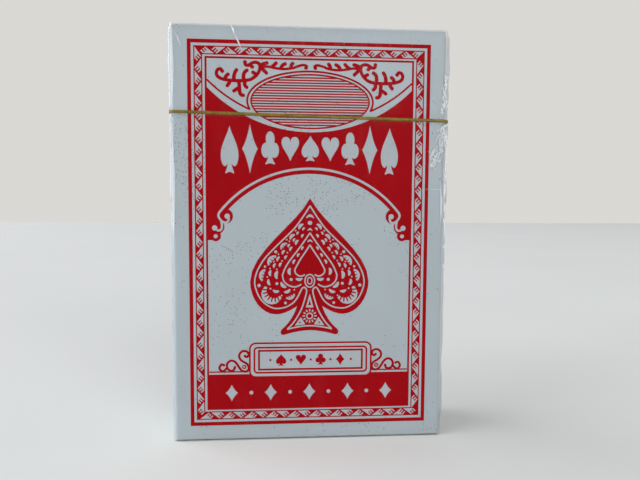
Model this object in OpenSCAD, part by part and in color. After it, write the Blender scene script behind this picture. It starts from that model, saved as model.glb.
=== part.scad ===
// A sealed pack of playing cards: 54 cards in a folded tuck carton, in a clear film wrap with a tear tape.
// Lengths are in millimetres. The front panel faces -Y and the origin is under the middle of the pack.

/* [Cards] */
// Width of a card
card_w = 57; // [50:0.5:66]
// Height of a card
card_h = 88; // [80:0.5:100]
// Thickness of a card
card_t = 0.28; // [0.24:0.01:0.34]
// Radius of a card's corners
card_corner_r = 3.5; // [2:0.5:6]
// Air between neighbouring cards
card_gap = 0.01; // [0.005:0.005:0.03]

/* [Carton] */
// Thickness of the carton board
board_t = 0.4; // [0.3:0.05:0.5]
// Outer radius of the upright creases
crease_r = 0.8; // [0.6:0.1:1.4]
// Play between the cards and the glue flap, the same on the other side
side_play = 0.45; // [0.2:0.05:1]
// Play between the cards and the back panel
back_play = 0.1; // [0.05:0.05:0.5]
// Play between the cards and the tuck flap
front_play = 0.5; // [0.2:0.05:1]
// Play between the tuck flap and the front panel
tuck_play = 0.15; // [0.1:0.05:0.4]
// Room between the cards and the dust flaps
head_room = 0.2; // [0.1:0.05:1]
// Gap beside an edge or face of board that moves on its crease
move_gap = 0.05; // [0.03:0.01:0.1]
// How far the front panel stops below the lid's face
front_lip = 0.1; // [0.05:0.05:0.3]
// How far the lid stops short of each side panel's face
lid_inset = 0.3; // [0.1:0.1:0.8]
// Length of the tuck flap
tuck_len = 14; // [10:0.5:18]
// Radius of the tuck flap's lower corners
tuck_corner_r = 5; // [3:0.5:8]
// How far the tuck flap stops short of each side panel
tuck_inset = 0.8; // [0.6:0.1:1.5]
// Length of the lock slit at each end of the tuck crease
slit_len = 6; // [3:0.5:10]
// Width of the lock slit
slit_w = 0.5; // [0.3:0.1:1]
// Length of a dust flap
dust_len = 14; // [8:0.5:15]
// Slope of a dust flap's rear edge in degrees
dust_taper = 26; // [26:1:30]
// Cut across a dust flap's free corners
dust_chamfer = 1.2; // [0.5:0.1:2]
// Gap between a dust flap and the board in front of it or behind it
dust_gap = 0.3; // [0.2:0.05:0.6]
// Width of the glue flap
glue_w = 11; // [6:0.5:12]
// Slope length at each end of the glue flap
glue_taper = 4; // [2:0.5:8]
// Depth of the inner flap under the cards
bottom_inner_len = 12; // [6:0.5:12]
// Length of a bottom dust flap
bottom_dust_len = 14; // [8:0.5:20]

/* [Film] */
// Thickness of the film, drawn about twice the real one
film_t = 0.05; // [0.04:0.01:0.08]
// Play between the film and the carton's sides
film_side_play = 0.3; // [0.15:0.05:0.6]
// Play between the film and the carton's front, back and top
film_play = 0.06; // [0.05:0.01:0.2]
// Width of the upright lap seam
seam_w = 6; // [3:0.5:10]
// How far the long end folds lap past the middle
fold_lap = 3; // [1:0.5:4]
// Depth of the part of the film above the tear tape
cap_h = 18.6; // [12:0.2:40]
// Width of the tear tape
tape_w = 0.8; // [0.6:0.1:2]
// Length of the pull tab
tab_len = 8; // [4:0.5:12]
// Height of the pull tab
tab_h = 2.4; // [2.2:0.1:5]
// Distance from the pull tab's root to the side of the pack
tab_inset = 9; // [6:0.5:12]
// Cut line beside the tape and around the pull tab
cut_gap = 0.04; // [0.03:0.01:0.1]

/* [Hidden] */
$fn = 48;
suits = ["spade", "heart", "club", "diamond"];
groups = ["ace", "number_cards", "jack", "queen", "king"];
group_starts = [0, 1, 10, 11, 12];
group_counts = [1, 9, 1, 1, 1];
suit_count = 13;
joker_count = 2;
deck_count = joker_count + suit_count * len(suits);

// How far a cut runs past the face it opens
overrun = board_t;

// The deck, the carton around it and the levels of its layers
card_pitch = card_t + card_gap;
deck_t = deck_count * card_pitch - card_gap;
carton_w = card_w + 2 * (side_play + 2 * board_t);
carton_d = deck_t + back_play + front_play + tuck_play + 3 * board_t;
inner_w = carton_w - 2 * board_t;
inner_d = carton_d - 2 * board_t;
carton_z = 3 * film_t;
wall_z = carton_z + board_t;
deck_z = carton_z + 3 * board_t;
dust_z = deck_z + card_h + head_room;
lid_z = dust_z + board_t + move_gap;
carton_top = lid_z + board_t;
side_top = dust_z - move_gap;
back_top = lid_z - move_gap;
front_top = carton_top - front_lip;
deck_y = carton_d / 2 - board_t - back_play - deck_t;
tuck_y = -carton_d / 2 + board_t + tuck_play;

// The film around the carton, with room for its lap seam against the back panel
film_in_w = carton_w + 2 * film_side_play;
film_in_d = carton_d + 2 * (film_play + film_t);
film_in_r = crease_r + film_side_play;
film_w = film_in_w + 2 * film_t;
film_d = film_in_d + 2 * film_t;
pack_h = carton_top + film_play + 3 * film_t;
tape_z = pack_h - cap_h - tape_w;
cap_z = pack_h - cap_h;
tab_x = film_w / 2 - tab_inset;
seam_y = film_in_d / 2 - film_t;

board_colour = [0.88, 0.90, 0.92];
card_colour = [0.93, 0.93, 0.91];
film_colour = [0.86, 0.91, 0.95, 0.3];
tape_colour = [0.72, 0.58, 0.25];

function card_node(suit, group) = str(suits[suit], "_", groups[group]);

// A rectangle with round corners, centred
module round_rect(w, d, r) {
    square([w - 2 * r, d], center = true);
    square([w, d - 2 * r], center = true);
    for (x = [-1, 1]) for (y = [-1, 1]) {
        translate([x * (w / 2 - r), y * (d / 2 - r)]) circle(r = r);
    }
}

// An upright plate from an outline in X and Z, its front face at y
module upright(y, t) {
    translate([0, y + t, 0]) rotate([90, 0, 0]) linear_extrude(t) children();
}

// A bar along X from an outline in Y and Z, starting at x
module along_x(x, w) {
    translate([x, 0, 0]) rotate([90, 0, 90]) linear_extrude(w) children();
}

// The carton's wall seen from above
module carton_ring() {
    difference() {
        round_rect(carton_w, carton_d, crease_r);
        round_rect(inner_w, inner_d, crease_r - board_t);
    }
}

// The part of the wall that is the front panel, cut along the creases; turned, it is the back panel
module front_share() {
    half_w = carton_w / 2;
    half_d = carton_d / 2;
    intersection() {
        carton_ring();
        polygon([[-half_w, -half_d], [half_w, -half_d], [half_w - half_d, 0], [half_d - half_w, 0]]);
    }
}

// The part of the wall that is the right side panel, cut along the creases
module side_share() {
    half_w = carton_w / 2;
    half_d = carton_d / 2;
    intersection() {
        carton_ring();
        polygon([[half_w, -half_d], [half_w, half_d], [half_w - half_d, 0]]);
    }
}

module front_panel() {
    color(board_colour) translate([0, 0, wall_z]) linear_extrude(front_top - wall_z) front_share();
}

module back_panel() {
    color(board_colour) translate([0, 0, wall_z]) linear_extrude(back_top - wall_z) {
        rotate(180) front_share();
    }
}

module left_side_panel() {
    color(board_colour) translate([0, 0, wall_z]) linear_extrude(side_top - wall_z) {
        rotate(180) side_share();
    }
}

module right_side_panel() {
    color(board_colour) translate([0, 0, wall_z]) linear_extrude(side_top - wall_z) side_share();
}

// Strip on the back panel's edge, glued inside the right side panel
module glue_flap() {
    rear = inner_d / 2 - (crease_r - board_t);
    low = deck_z + move_gap;
    high = side_top - move_gap;
    color(board_colour) along_x(inner_w / 2 - board_t, board_t) polygon([
        [rear, low], [rear, high],
        [rear - glue_w, high - glue_taper], [rear - glue_w, low + glue_taper]
    ]);
}

// The outer bottom, creased to the back panel and rounded along its long edges
module bottom_panel() {
    color(board_colour) intersection() {
        translate([0, 0, carton_z]) linear_extrude(board_t) round_rect(carton_w, carton_d, crease_r);
        along_x(-carton_w / 2, carton_w) translate([0, wall_z]) {
            translate([board_t - carton_d / 2, -board_t]) square([carton_d - 2 * board_t, board_t]);
            for (y = [-1, 1]) translate([y * (carton_d / 2 - board_t), 0]) circle(r = board_t);
        }
    }
}

module bottom_inner_flap() {
    color(board_colour) translate([-inner_w / 2 + crease_r, -inner_d / 2, wall_z]) {
        cube([inner_w - 2 * crease_r, bottom_inner_len, board_t]);
    }
}

// A bottom dust flap on the right
module bottom_dust_flap() {
    depth = inner_d - 2 * crease_r;
    translate([inner_w / 2 - bottom_dust_len, -depth / 2, wall_z + board_t]) {
        cube([bottom_dust_len, depth, board_t]);
    }
}

module bottom_left_dust_flap() {
    color(board_colour) mirror([1, 0, 0]) bottom_dust_flap();
}

module bottom_right_dust_flap() {
    color(board_colour) bottom_dust_flap();
}

// The lid runs from the rear crease to the tuck crease, both rounded
module lid() {
    lid_w = carton_w - 2 * lid_inset;
    lid_d = carton_d / 2 - tuck_y;
    color(board_colour) intersection() {
        along_x(-lid_w / 2, lid_w) translate([tuck_y, lid_z]) {
            translate([board_t, 0]) square([lid_d - 2 * board_t, board_t]);
            for (y = [board_t, lid_d - board_t]) translate([y, 0]) circle(r = board_t);
        }
        along_x(-lid_w / 2, lid_w) translate([tuck_y, lid_z]) square([lid_d, board_t]);
    }
}

// The flap behind the front panel, with a lock slit at each end of its crease
module tuck_flap() {
    half_w = inner_w / 2 - tuck_inset;
    top = lid_z - move_gap;
    low = top - tuck_len;
    color(board_colour) upright(tuck_y, board_t) difference() {
        union() {
            translate([-half_w, low + tuck_corner_r]) square([2 * half_w, tuck_len - tuck_corner_r]);
            translate([tuck_corner_r - half_w, low]) square([2 * (half_w - tuck_corner_r), tuck_len]);
            for (x = [-1, 1]) translate([x * (half_w - tuck_corner_r), low + tuck_corner_r]) {
                circle(r = tuck_corner_r);
            }
        }
        for (x = [-half_w - overrun, half_w - slit_len]) translate([x, top - slit_w]) {
            square([slit_len + overrun, slit_w + overrun]);
        }
    }
}

// A dust flap on the right, its rear edge sloped so that it clears the lid on the way up
module dust_flap() {
    root = carton_w / 2;
    rear = carton_d / 2 - board_t - dust_gap;
    front = tuck_y + board_t + dust_gap;
    slope = dust_len * tan(dust_taper);
    color(board_colour) translate([0, 0, dust_z]) linear_extrude(board_t) polygon([
        [root, rear],
        [root - dust_len + dust_chamfer, rear - slope],
        [root - dust_len, rear - slope - dust_chamfer],
        [root - dust_len, front + dust_chamfer],
        [root - dust_len + dust_chamfer, front],
        [root, front]
    ]);
}

module left_dust_flap() {
    mirror([1, 0, 0]) dust_flap();
}

module right_dust_flap() {
    dust_flap();
}

// The card that is number place from the front, counted from zero
module card(place) {
    color(card_colour) upright(deck_y + place * card_pitch, card_t) {
        translate([0, deck_z + card_h / 2]) round_rect(card_w, card_h, card_corner_r);
    }
}

module black_joker() {
    card(0);
}

module red_joker() {
    card(1);
}

// The cards of one group in a suit, each a solid of its own
module card_group(suit, group) {
    first = joker_count + suit * suit_count + group_starts[group];
    for (place = [first : first + group_counts[group] - 1]) card(place);
}

// The film's wall seen from above
module film_ring() {
    difference() {
        round_rect(film_w, film_d, film_in_r + film_t);
        round_rect(film_in_w, film_in_d, film_in_r);
    }
}

// The pull tab's outline on the back, grown by edge
module tab_outline(edge) {
    middle = tape_z + tape_w / 2;
    radius = tab_h / 2;
    translate([tab_x - tab_len + radius, middle - radius - edge]) {
        square([tab_len - radius, tab_h + 2 * edge]);
    }
    translate([tab_x - tab_len + radius, middle]) circle(r = radius + edge);
}

// The hole that the pull tab is cut from
module tab_hole() {
    upright(film_in_d / 2 - film_t, 3 * film_t) tab_outline(cut_gap);
}

module film_sleeve() {
    color(film_colour) difference() {
        translate([0, 0, film_t]) linear_extrude(tape_z - cut_gap - film_t) film_ring();
        tab_hole();
    }
}

module film_cap() {
    color(film_colour) difference() {
        translate([0, 0, cap_z]) linear_extrude(cap_h) film_ring();
        tab_hole();
    }
}

module tear_tape() {
    color(tape_colour) difference() {
        translate([0, 0, tape_z]) linear_extrude(tape_w) film_ring();
        tab_hole();
    }
}

module pull_tab() {
    color(tape_colour) upright(film_in_d / 2, film_t) tab_outline(0);
}

// The inner layer of the upright lap seam, against the back wall of the film
module film_seam(low, high) {
    translate([-seam_w / 2, seam_y, low]) cube([seam_w, film_t, high - low]);
}

module film_sleeve_seam() {
    color(film_colour) film_seam(carton_z, tape_z - cut_gap);
}

module film_cap_seam() {
    color(film_colour) film_seam(cap_z, carton_top);
}

// The two triangles that the ends of the wrap make when they are tucked in
module end_tucks(z) {
    translate([0, 0, z]) linear_extrude(film_t) for (x = [-1, 1]) intersection() {
        round_rect(film_in_w, film_in_d, film_in_r);
        polygon([
            [x * film_in_w / 2, -film_in_d / 2], [x * film_in_w / 2, film_in_d / 2],
            [x * (film_in_w - film_in_d) / 2, 0]
        ]);
    }
}

// The long end fold that comes over from the back
module end_fold(z) {
    reach = film_in_d / 2 + fold_lap;
    edge = film_in_d / 2;
    translate([0, 0, z]) linear_extrude(film_t) intersection() {
        round_rect(film_in_w, film_in_d, film_in_r);
        polygon([
            [-film_in_w / 2, edge], [film_in_w / 2, edge],
            [film_in_w / 2 - reach, edge - reach], [reach - film_in_w / 2, edge - reach]
        ]);
    }
}

module film_bottom_tucks() {
    color(film_colour) end_tucks(2 * film_t);
}

module film_bottom_inner_fold() {
    color(film_colour) end_fold(film_t);
}

module film_bottom_outer_fold() {
    color(film_colour) mirror([0, 1, 0]) end_fold(0);
}

module film_top_tucks() {
    color(film_colour) end_tucks(pack_h - 3 * film_t);
}

module film_top_inner_fold() {
    color(film_colour) end_fold(pack_h - 2 * film_t);
}

module film_top_outer_fold() {
    color(film_colour) mirror([0, 1, 0]) end_fold(pack_h - film_t);
}

front_panel();
back_panel();
left_side_panel();
right_side_panel();
glue_flap();
bottom_panel();
bottom_inner_flap();
bottom_left_dust_flap();
bottom_right_dust_flap();
lid();
tuck_flap();
left_dust_flap();
right_dust_flap();
black_joker();
red_joker();
for (suit = [0 : len(suits) - 1]) for (group = [0 : len(groups) - 1]) {
    card_group(suit, group);
}
film_sleeve();
film_sleeve_seam();
film_bottom_tucks();
film_bottom_inner_fold();
film_bottom_outer_fold();
film_cap();
film_cap_seam();
film_top_tucks();
film_top_inner_fold();
film_top_outer_fold();
tear_tape();
pull_tab();
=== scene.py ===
"""Dresses a sealed pack of playing cards: printed carton, card stock, clear film wrap and tear tape."""

import logging
import math
import random
from collections.abc import Iterable, Sequence
from dataclasses import dataclass, field
from enum import Enum

import bmesh
import bpy
from mathutils import Matrix, Vector, noise
from mathutils.geometry import interpolate_bezier


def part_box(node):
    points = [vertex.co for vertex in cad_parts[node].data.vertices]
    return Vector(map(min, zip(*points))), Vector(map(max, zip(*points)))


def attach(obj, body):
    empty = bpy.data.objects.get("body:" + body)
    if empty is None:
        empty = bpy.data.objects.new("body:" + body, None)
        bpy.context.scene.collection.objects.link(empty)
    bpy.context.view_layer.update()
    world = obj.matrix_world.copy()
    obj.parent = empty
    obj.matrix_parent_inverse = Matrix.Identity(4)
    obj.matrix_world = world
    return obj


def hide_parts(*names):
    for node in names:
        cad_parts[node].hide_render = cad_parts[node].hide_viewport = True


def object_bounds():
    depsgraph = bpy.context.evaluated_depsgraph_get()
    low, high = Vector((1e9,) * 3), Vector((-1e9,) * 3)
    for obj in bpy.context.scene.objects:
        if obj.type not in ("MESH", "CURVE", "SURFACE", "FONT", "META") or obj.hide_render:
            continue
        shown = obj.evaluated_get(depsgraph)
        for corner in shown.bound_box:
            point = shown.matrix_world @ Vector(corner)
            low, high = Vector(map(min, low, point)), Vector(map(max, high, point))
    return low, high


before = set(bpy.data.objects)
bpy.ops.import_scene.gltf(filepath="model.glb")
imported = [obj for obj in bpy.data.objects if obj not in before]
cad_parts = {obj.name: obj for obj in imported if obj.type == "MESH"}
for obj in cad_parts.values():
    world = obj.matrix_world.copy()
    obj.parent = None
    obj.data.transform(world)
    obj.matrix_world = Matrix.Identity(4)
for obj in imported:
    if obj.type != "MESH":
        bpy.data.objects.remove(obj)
CAD_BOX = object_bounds()

LOG = logging.getLogger("card_pack")
MM = 0.001

Point = tuple[float, float]
Span = tuple[float, float]
Path = list[Point]
Socket = bpy.types.NodeSocket
Colour = tuple[float, float, float]
Look = dict[str, object]
Cut = tuple[Vector, tuple[int, int, int]]
Strokes = dict[str, list[tuple[Point, Point, float]]]

RED: Colour = (0.37, 0.002, 0.006)
RESERVE: Colour = (0.46, 0.50, 0.53)
INK_GRAIN = 1.6
MATTE = 0.05


class Suit(Enum):
    """The four suits, in the order that their pips are drawn."""

    SPADE = "spade"
    HEART = "heart"
    CLUB = "club"
    DIAMOND = "diamond"


class Ink(Enum):
    """The layers of ink from the lowest to the highest; the value is the rise in millimetres."""

    GROUND = 0.010
    RESERVE = 0.016
    DETAIL = 0.022
    GLINT = 0.028


class Face(Enum):
    """The faces of the carton; the value is the outward direction."""

    FRONT = (0.0, -1.0, 0.0)
    BACK = (0.0, 1.0, 0.0)
    LEFT = (-1.0, 0.0, 0.0)
    RIGHT = (1.0, 0.0, 0.0)
    TOP = (0.0, 0.0, 1.0)
    BOTTOM = (0.0, 0.0, -1.0)

    def plane(self, centre: Vector) -> Matrix:
        """Place a flat drawing on this face.

        Args:
            centre: Where the drawing's origin lies, in the part's frame.

        Returns:
            A matrix that takes the drawing's X, Y and height to the face.
        """
        out = Vector(self.value)
        up = Vector((0, 1, 0)) if abs(out.z) > 0.5 else Vector((0, 0, 1))
        across = up.cross(out)
        turn = Matrix((across, up, out)).transposed().to_4x4()
        return Matrix.Translation(centre) @ turn


class Wiring:
    """Adds and joins shader nodes in one node tree."""

    def __init__(self, tree: bpy.types.NodeTree) -> None:
        """Start on a tree."""
        self.tree = tree

    def node(self, kind: str, inputs: dict | None = None, **settings: object) -> bpy.types.Node:
        """Add a node.

        Args:
            kind: The node's type name.
            inputs: Values or sockets for its inputs, by name or number.
            settings: The node's own properties.

        Returns:
            The new node.
        """
        made = self.tree.nodes.new(kind)
        for name, value in settings.items():
            setattr(made, name, value)
        for key, value in (inputs or {}).items():
            if isinstance(value, Socket):
                self.tree.links.new(value, made.inputs[key])
            else:
                made.inputs[key].default_value = value
        return made

    def math(self, operation: str, *values: object, clamp: bool = False) -> Socket:
        """Add a Math node for numbers or sockets, and return its result's socket."""
        made = self.node("ShaderNodeMath", dict(enumerate(values)), operation=operation, use_clamp=clamp)
        return made.outputs[0]

    def span(
        self, value: Socket, low: float, high: float, to_low: float = 0.0, to_high: float = 1.0
    ) -> Socket:
        """Map a value from one range to another, clamped and eased.

        Args:
            value: What is mapped.
            low: The lower end of its range.
            high: The upper end of its range.
            to_low: The result at the lower end.
            to_high: The result at the upper end.

        Returns:
            The result's socket.
        """
        return self.node(
            "ShaderNodeMapRange",
            {"Value": value, "From Min": low, "From Max": high, "To Min": to_low, "To Max": to_high},
            interpolation_type="SMOOTHSTEP",
        ).outputs["Result"]

    def ramp(self, value: Socket, low: float, high: float) -> Socket:
        """Map 0 to 1 in a straight line onto a range, and return the result's socket."""
        return self.math("MULTIPLY_ADD", value, high - low, low)

    def mix(self, share: Socket, first: object, second: object) -> Socket:
        """Mix two colours.

        Args:
            share: How much of the second colour shows.
            first: A colour or socket.
            second: A colour or socket.

        Returns:
            The mixed colour's socket.
        """
        made = self.node("ShaderNodeMix", {0: share}, data_type="RGBA")
        for key, value in ((6, first), (7, second)):
            if isinstance(value, Socket):
                self.tree.links.new(value, made.inputs[key])
            else:
                made.inputs[key].default_value = (*value, 1.0)
        return made.outputs[2]

    def tint(self, colour: object, tone: Socket) -> Socket:
        """Scale a colour by a tone and return its socket."""
        made = self.node("ShaderNodeVectorMath", {0: colour, "Scale": tone}, operation="SCALE")
        return made.outputs[0]

    def noise(self, place: Socket, scale: object, detail: float, roughness: float = 0.5) -> Socket:
        """Add a noise texture and return its value's socket."""
        inputs = {"Vector": place, "Scale": scale, "Detail": detail, "Roughness": roughness}
        return self.node("ShaderNodeTexNoise", inputs).outputs["Fac"]

    def bump(self, height: Socket, strength: float, distance: float) -> Socket:
        """Add a Bump node and return its normal's socket."""
        inputs = {"Height": height, "Strength": strength, "Distance": distance}
        return self.node("ShaderNodeBump", inputs).outputs[0]

    def effect(self, group: bpy.types.NodeTree, **inputs: float) -> bpy.types.NodeOutputs:
        """Add a shared effect and return its outputs."""
        return self.node("ShaderNodeGroup", inputs, node_tree=group).outputs


class EffectGroups:
    """Builds each shared effect once, as a shader node group; places are in metres."""

    CLOUD_SCALE = 70.0
    FIBRE_SCALE = 2600.0
    FIBRE_SHARE = 0.3
    GRAIN_SWING = 4.0
    SPECK_SCALE = 2300.0
    SPECK_RIM = (0.16, 0.34)
    DUST_SCALE = 95.0
    DUST_CLOUD = (0.42, 0.66)
    DUST_SPOT = (-0.027, -0.009, 0.062)
    DUST_REACH = (0.003, 0.014)
    DUST_GAIN = 0.15
    FOOT_FADE = (0.036, 0.054)
    FOOT_SHARE = 0.25
    TAPE_FADE = (0.068, 0.078)
    TAPE_SHARE = 0.2
    RIPPLE_SCALE = 130.0
    RIPPLE_STRETCH = (1.0, 1.0, 0.22)
    CRINKLE_SCALE = 620.0
    CRINKLE_SHARE = 0.12
    CRINKLE_HAZE = (0.45, 0.8)

    def __init__(self) -> None:
        """Build every group."""
        self.grain = self._grain()
        self.specks = self._specks()
        self.ripple = self._ripple()

    @staticmethod
    def _start(
        name: str, inputs: dict[str, float], outputs: Sequence[str]
    ) -> tuple[bpy.types.NodeTree, Wiring, bpy.types.Node, bpy.types.Node]:
        """Make a group with its sockets.

        Args:
            name: The group's name.
            inputs: Its inputs and their defaults.
            outputs: Its outputs.

        Returns:
            The group, its wiring and its two end nodes.
        """
        tree = bpy.data.node_groups.new(name, "ShaderNodeTree")
        for key, value in inputs.items():
            socket = tree.interface.new_socket(key, in_out="INPUT", socket_type="NodeSocketFloat")
            socket.default_value = value
        for key in outputs:
            tree.interface.new_socket(key, in_out="OUTPUT", socket_type="NodeSocketFloat")
        wires = Wiring(tree)
        return tree, wires, wires.node("NodeGroupInput"), wires.node("NodeGroupOutput")

    def _grain(self) -> bpy.types.NodeTree:
        """Build paper's cloudy tone and fine fibre.

        Returns:
            The group, which gives a tone near 1 and a height.
        """
        sockets = {"Scale": 1.0, "Amount": 0.06}
        tree, wires, start, end = self._start("PaperGrain", sockets, ("Tone", "Height"))
        place = wires.node("ShaderNodeTexCoord").outputs["Object"]
        scale = start.outputs["Scale"]
        cloud = wires.noise(place, wires.math("MULTIPLY", scale, self.CLOUD_SCALE), 4.0)
        fibre = wires.noise(place, wires.math("MULTIPLY", scale, self.FIBRE_SCALE), 3.0, 0.65)
        soft = wires.math("MULTIPLY", cloud, 1.0 - self.FIBRE_SHARE)
        both = wires.math("ADD", soft, wires.math("MULTIPLY", fibre, self.FIBRE_SHARE))
        reach = wires.math("MULTIPLY", start.outputs["Amount"], self.GRAIN_SWING)
        swing = wires.math("MULTIPLY", wires.math("SUBTRACT", both, 0.5), reach)
        tree.links.new(wires.math("ADD", swing, 1.0), end.inputs["Tone"])
        tree.links.new(fibre, end.inputs["Height"])
        return tree

    def _specks(self) -> bpy.types.NodeTree:
        """Build dark dust specks that gather in clouds, most of them under the tape.

        Returns:
            The group, which gives a mask.
        """
        tree, wires, start, end = self._start("DustSpecks", {"Scale": 1.0, "Cover": 0.5}, ("Mask",))
        place = wires.node("ShaderNodeTexCoord").outputs["Object"]
        scale = wires.math("MULTIPLY", start.outputs["Scale"], self.SPECK_SCALE)
        cells = wires.node("ShaderNodeTexVoronoi", {"Vector": place, "Scale": scale})
        chance = wires.node("ShaderNodeSeparateColor", {0: cells.outputs["Color"]}).outputs[0]
        away = wires.node("ShaderNodeVectorMath", {0: place, 1: self.DUST_SPOT}, operation="DISTANCE")
        gather = wires.span(away.outputs["Value"], *self.DUST_REACH, self.DUST_GAIN, 0.0)
        cloud = wires.math("ADD", wires.noise(place, self.DUST_SCALE, 2.0), gather)
        rise = wires.node("ShaderNodeSeparateXYZ", {0: place}).outputs["Z"]
        over_foot = wires.span(rise, *self.FOOT_FADE, self.FOOT_SHARE, 1.0)
        under_tape = wires.span(rise, *self.TAPE_FADE, 1.0, self.TAPE_SHARE)
        belt = wires.math("MULTIPLY", over_foot, under_tape)
        room = wires.math("MULTIPLY", wires.span(cloud, *self.DUST_CLOUD), belt)
        picked = wires.math("LESS_THAN", chance, wires.math("MULTIPLY", room, start.outputs["Cover"]))
        dot = wires.span(cells.outputs["Distance"], *self.SPECK_RIM, 1.0, 0.0)
        tree.links.new(wires.math("MULTIPLY", dot, picked), end.inputs["Mask"])
        return tree

    def _ripple(self) -> bpy.types.NodeTree:
        """Build the small slack ripples of stretched film.

        Returns:
            The group, which gives a height and a haze mask.
        """
        tree, wires, start, end = self._start("FilmRipple", {"Scale": 1.0}, ("Height", "Haze"))
        place = wires.node("ShaderNodeTexCoord").outputs["Object"]
        long = wires.node("ShaderNodeMapping", {"Vector": place, "Scale": self.RIPPLE_STRETCH}).outputs[0]
        scale = start.outputs["Scale"]
        broad = wires.noise(long, wires.math("MULTIPLY", scale, self.RIPPLE_SCALE), 2.0)
        fine = wires.noise(long, wires.math("MULTIPLY", scale, self.CRINKLE_SCALE), 3.0)
        height = wires.math("ADD", broad, wires.math("MULTIPLY", fine, self.CRINKLE_SHARE))
        tree.links.new(height, end.inputs["Height"])
        tree.links.new(wires.span(fine, *self.CRINKLE_HAZE), end.inputs["Haze"])
        return tree


GROUPS = EffectGroups()


class Finish:
    """A surface finish that can be made into a material."""

    name: str

    def material(self) -> bpy.types.Material:
        """Make the material.

        Returns:
            The new material, whose shader has this finish's look.
        """
        made = bpy.data.materials.new(self.name)
        made.use_nodes = True
        made.node_tree.nodes.clear()
        wires = Wiring(made.node_tree)
        shader = wires.node("ShaderNodeBsdfPrincipled", self.look(wires))
        wires.node("ShaderNodeOutputMaterial", {"Surface": shader.outputs[0]})
        return made

    def look(self, wires: Wiring) -> Look:
        """Wire the finish and return its shader's inputs."""
        raise NotImplementedError


@dataclass(frozen=True)
class BoardFinish(Finish):
    """Carton board: clay-coated on its printed side, plain and rougher inside and on its cut edges."""

    name: str
    outward: tuple[float, float, float]
    coated: Colour = (0.43, 0.49, 0.52)
    plain: Colour = (0.50, 0.495, 0.47)
    facing: Span = (0.3, 0.6)
    mottle: float = 0.05
    roughness: Span = (0.8, 0.45)
    bump: float = 0.12
    bump_depth: float = 0.03 * MM
    dust: Colour = (0.10, 0.10, 0.11)
    dust_cover: float = 0.75
    dust_strength: float = 0.95

    def look(self, wires: Wiring) -> Look:
        """Wire the two sides of the board and the dust on its printed side.

        Args:
            wires: The material's wiring.

        Returns:
            The shader's inputs.
        """
        normal = wires.node("ShaderNodeTexCoord").outputs["Normal"]
        side = wires.node("ShaderNodeVectorMath", {0: normal, 1: self.outward}, operation="DOT_PRODUCT")
        printed = wires.span(side.outputs["Value"], *self.facing)
        grain = wires.effect(GROUPS.grain, Amount=self.mottle)
        specks = wires.effect(GROUPS.specks, Cover=self.dust_cover)
        colour = wires.tint(wires.mix(printed, self.plain, self.coated), grain["Tone"])
        dirt = wires.math("MULTIPLY", specks["Mask"], wires.math("MULTIPLY", printed, self.dust_strength))
        return {
            "Base Color": wires.mix(dirt, colour, self.dust),
            "Roughness": wires.ramp(printed, *self.roughness),
            "Normal": wires.bump(grain["Height"], self.bump, self.bump_depth),
        }


@dataclass(frozen=True)
class InkFinish(Finish):
    """Printing ink with a slight mottle."""

    name: str
    colour: Colour
    mottle: float = 0.10
    roughness: float = 0.42
    dust_cover: float = 0.03
    dust: Colour = (0.06, 0.03, 0.035)
    dust_strength: float = 0.6

    def look(self, wires: Wiring) -> Look:
        """Wire the ink and the few specks on it.

        Args:
            wires: The material's wiring.

        Returns:
            The shader's inputs.
        """
        grain = wires.effect(GROUPS.grain, Scale=INK_GRAIN, Amount=self.mottle)
        specks = wires.effect(GROUPS.specks, Cover=self.dust_cover)
        dirt = wires.math("MULTIPLY", specks["Mask"], self.dust_strength)
        return {
            "Base Color": wires.mix(dirt, wires.tint((*self.colour,), grain["Tone"]), self.dust),
            "Roughness": wires.math("MULTIPLY", grain["Height"], self.roughness * 2.0),
            "Specular IOR Level": MATTE,
        }


@dataclass(frozen=True)
class LatticeFinish(Finish):
    """The card-back lattice: diagonal white lines and dots on red ink."""

    name: str
    red: Colour
    white: Colour
    pitch: float = 3.4 * MM
    line: Span = (0.05, 0.085)
    dot: Span = (0.15, 0.19)
    mottle: float = 0.10
    roughness: float = 0.42

    def look(self, wires: Wiring) -> Look:
        """Wire the two runs of lines and the dots between them.

        Args:
            wires: The material's wiring.

        Returns:
            The shader's inputs.
        """
        place = wires.node("ShaderNodeSeparateXYZ", {0: wires.node("ShaderNodeTexCoord").outputs["Object"]})
        across, up = place.outputs["X"], place.outputs["Z"]
        grain = wires.effect(GROUPS.grain, Scale=INK_GRAIN, Amount=self.mottle)
        lines, dots = [], []
        for way in ("ADD", "SUBTRACT"):
            run = wires.math("DIVIDE", wires.math(way, across, up), self.pitch)
            swing = wires.math("PINGPONG", run, 0.5)
            lines.append(wires.span(swing, *self.line, 1.0, 0.0))
            dots.append(wires.math("SUBTRACT", swing, 0.5))
        away = wires.math("SQRT", wires.math("ADD", *(wires.math("MULTIPLY", d, d) for d in dots)))
        spot = wires.span(away, *self.dot, 1.0, 0.0)
        shown = wires.math("MAXIMUM", wires.math("MAXIMUM", *lines), spot)
        return {
            "Base Color": wires.tint(wires.mix(shown, self.red, self.white), grain["Tone"]),
            "Roughness": wires.math("MULTIPLY", grain["Height"], self.roughness * 2.0),
            "Specular IOR Level": MATTE,
        }


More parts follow.
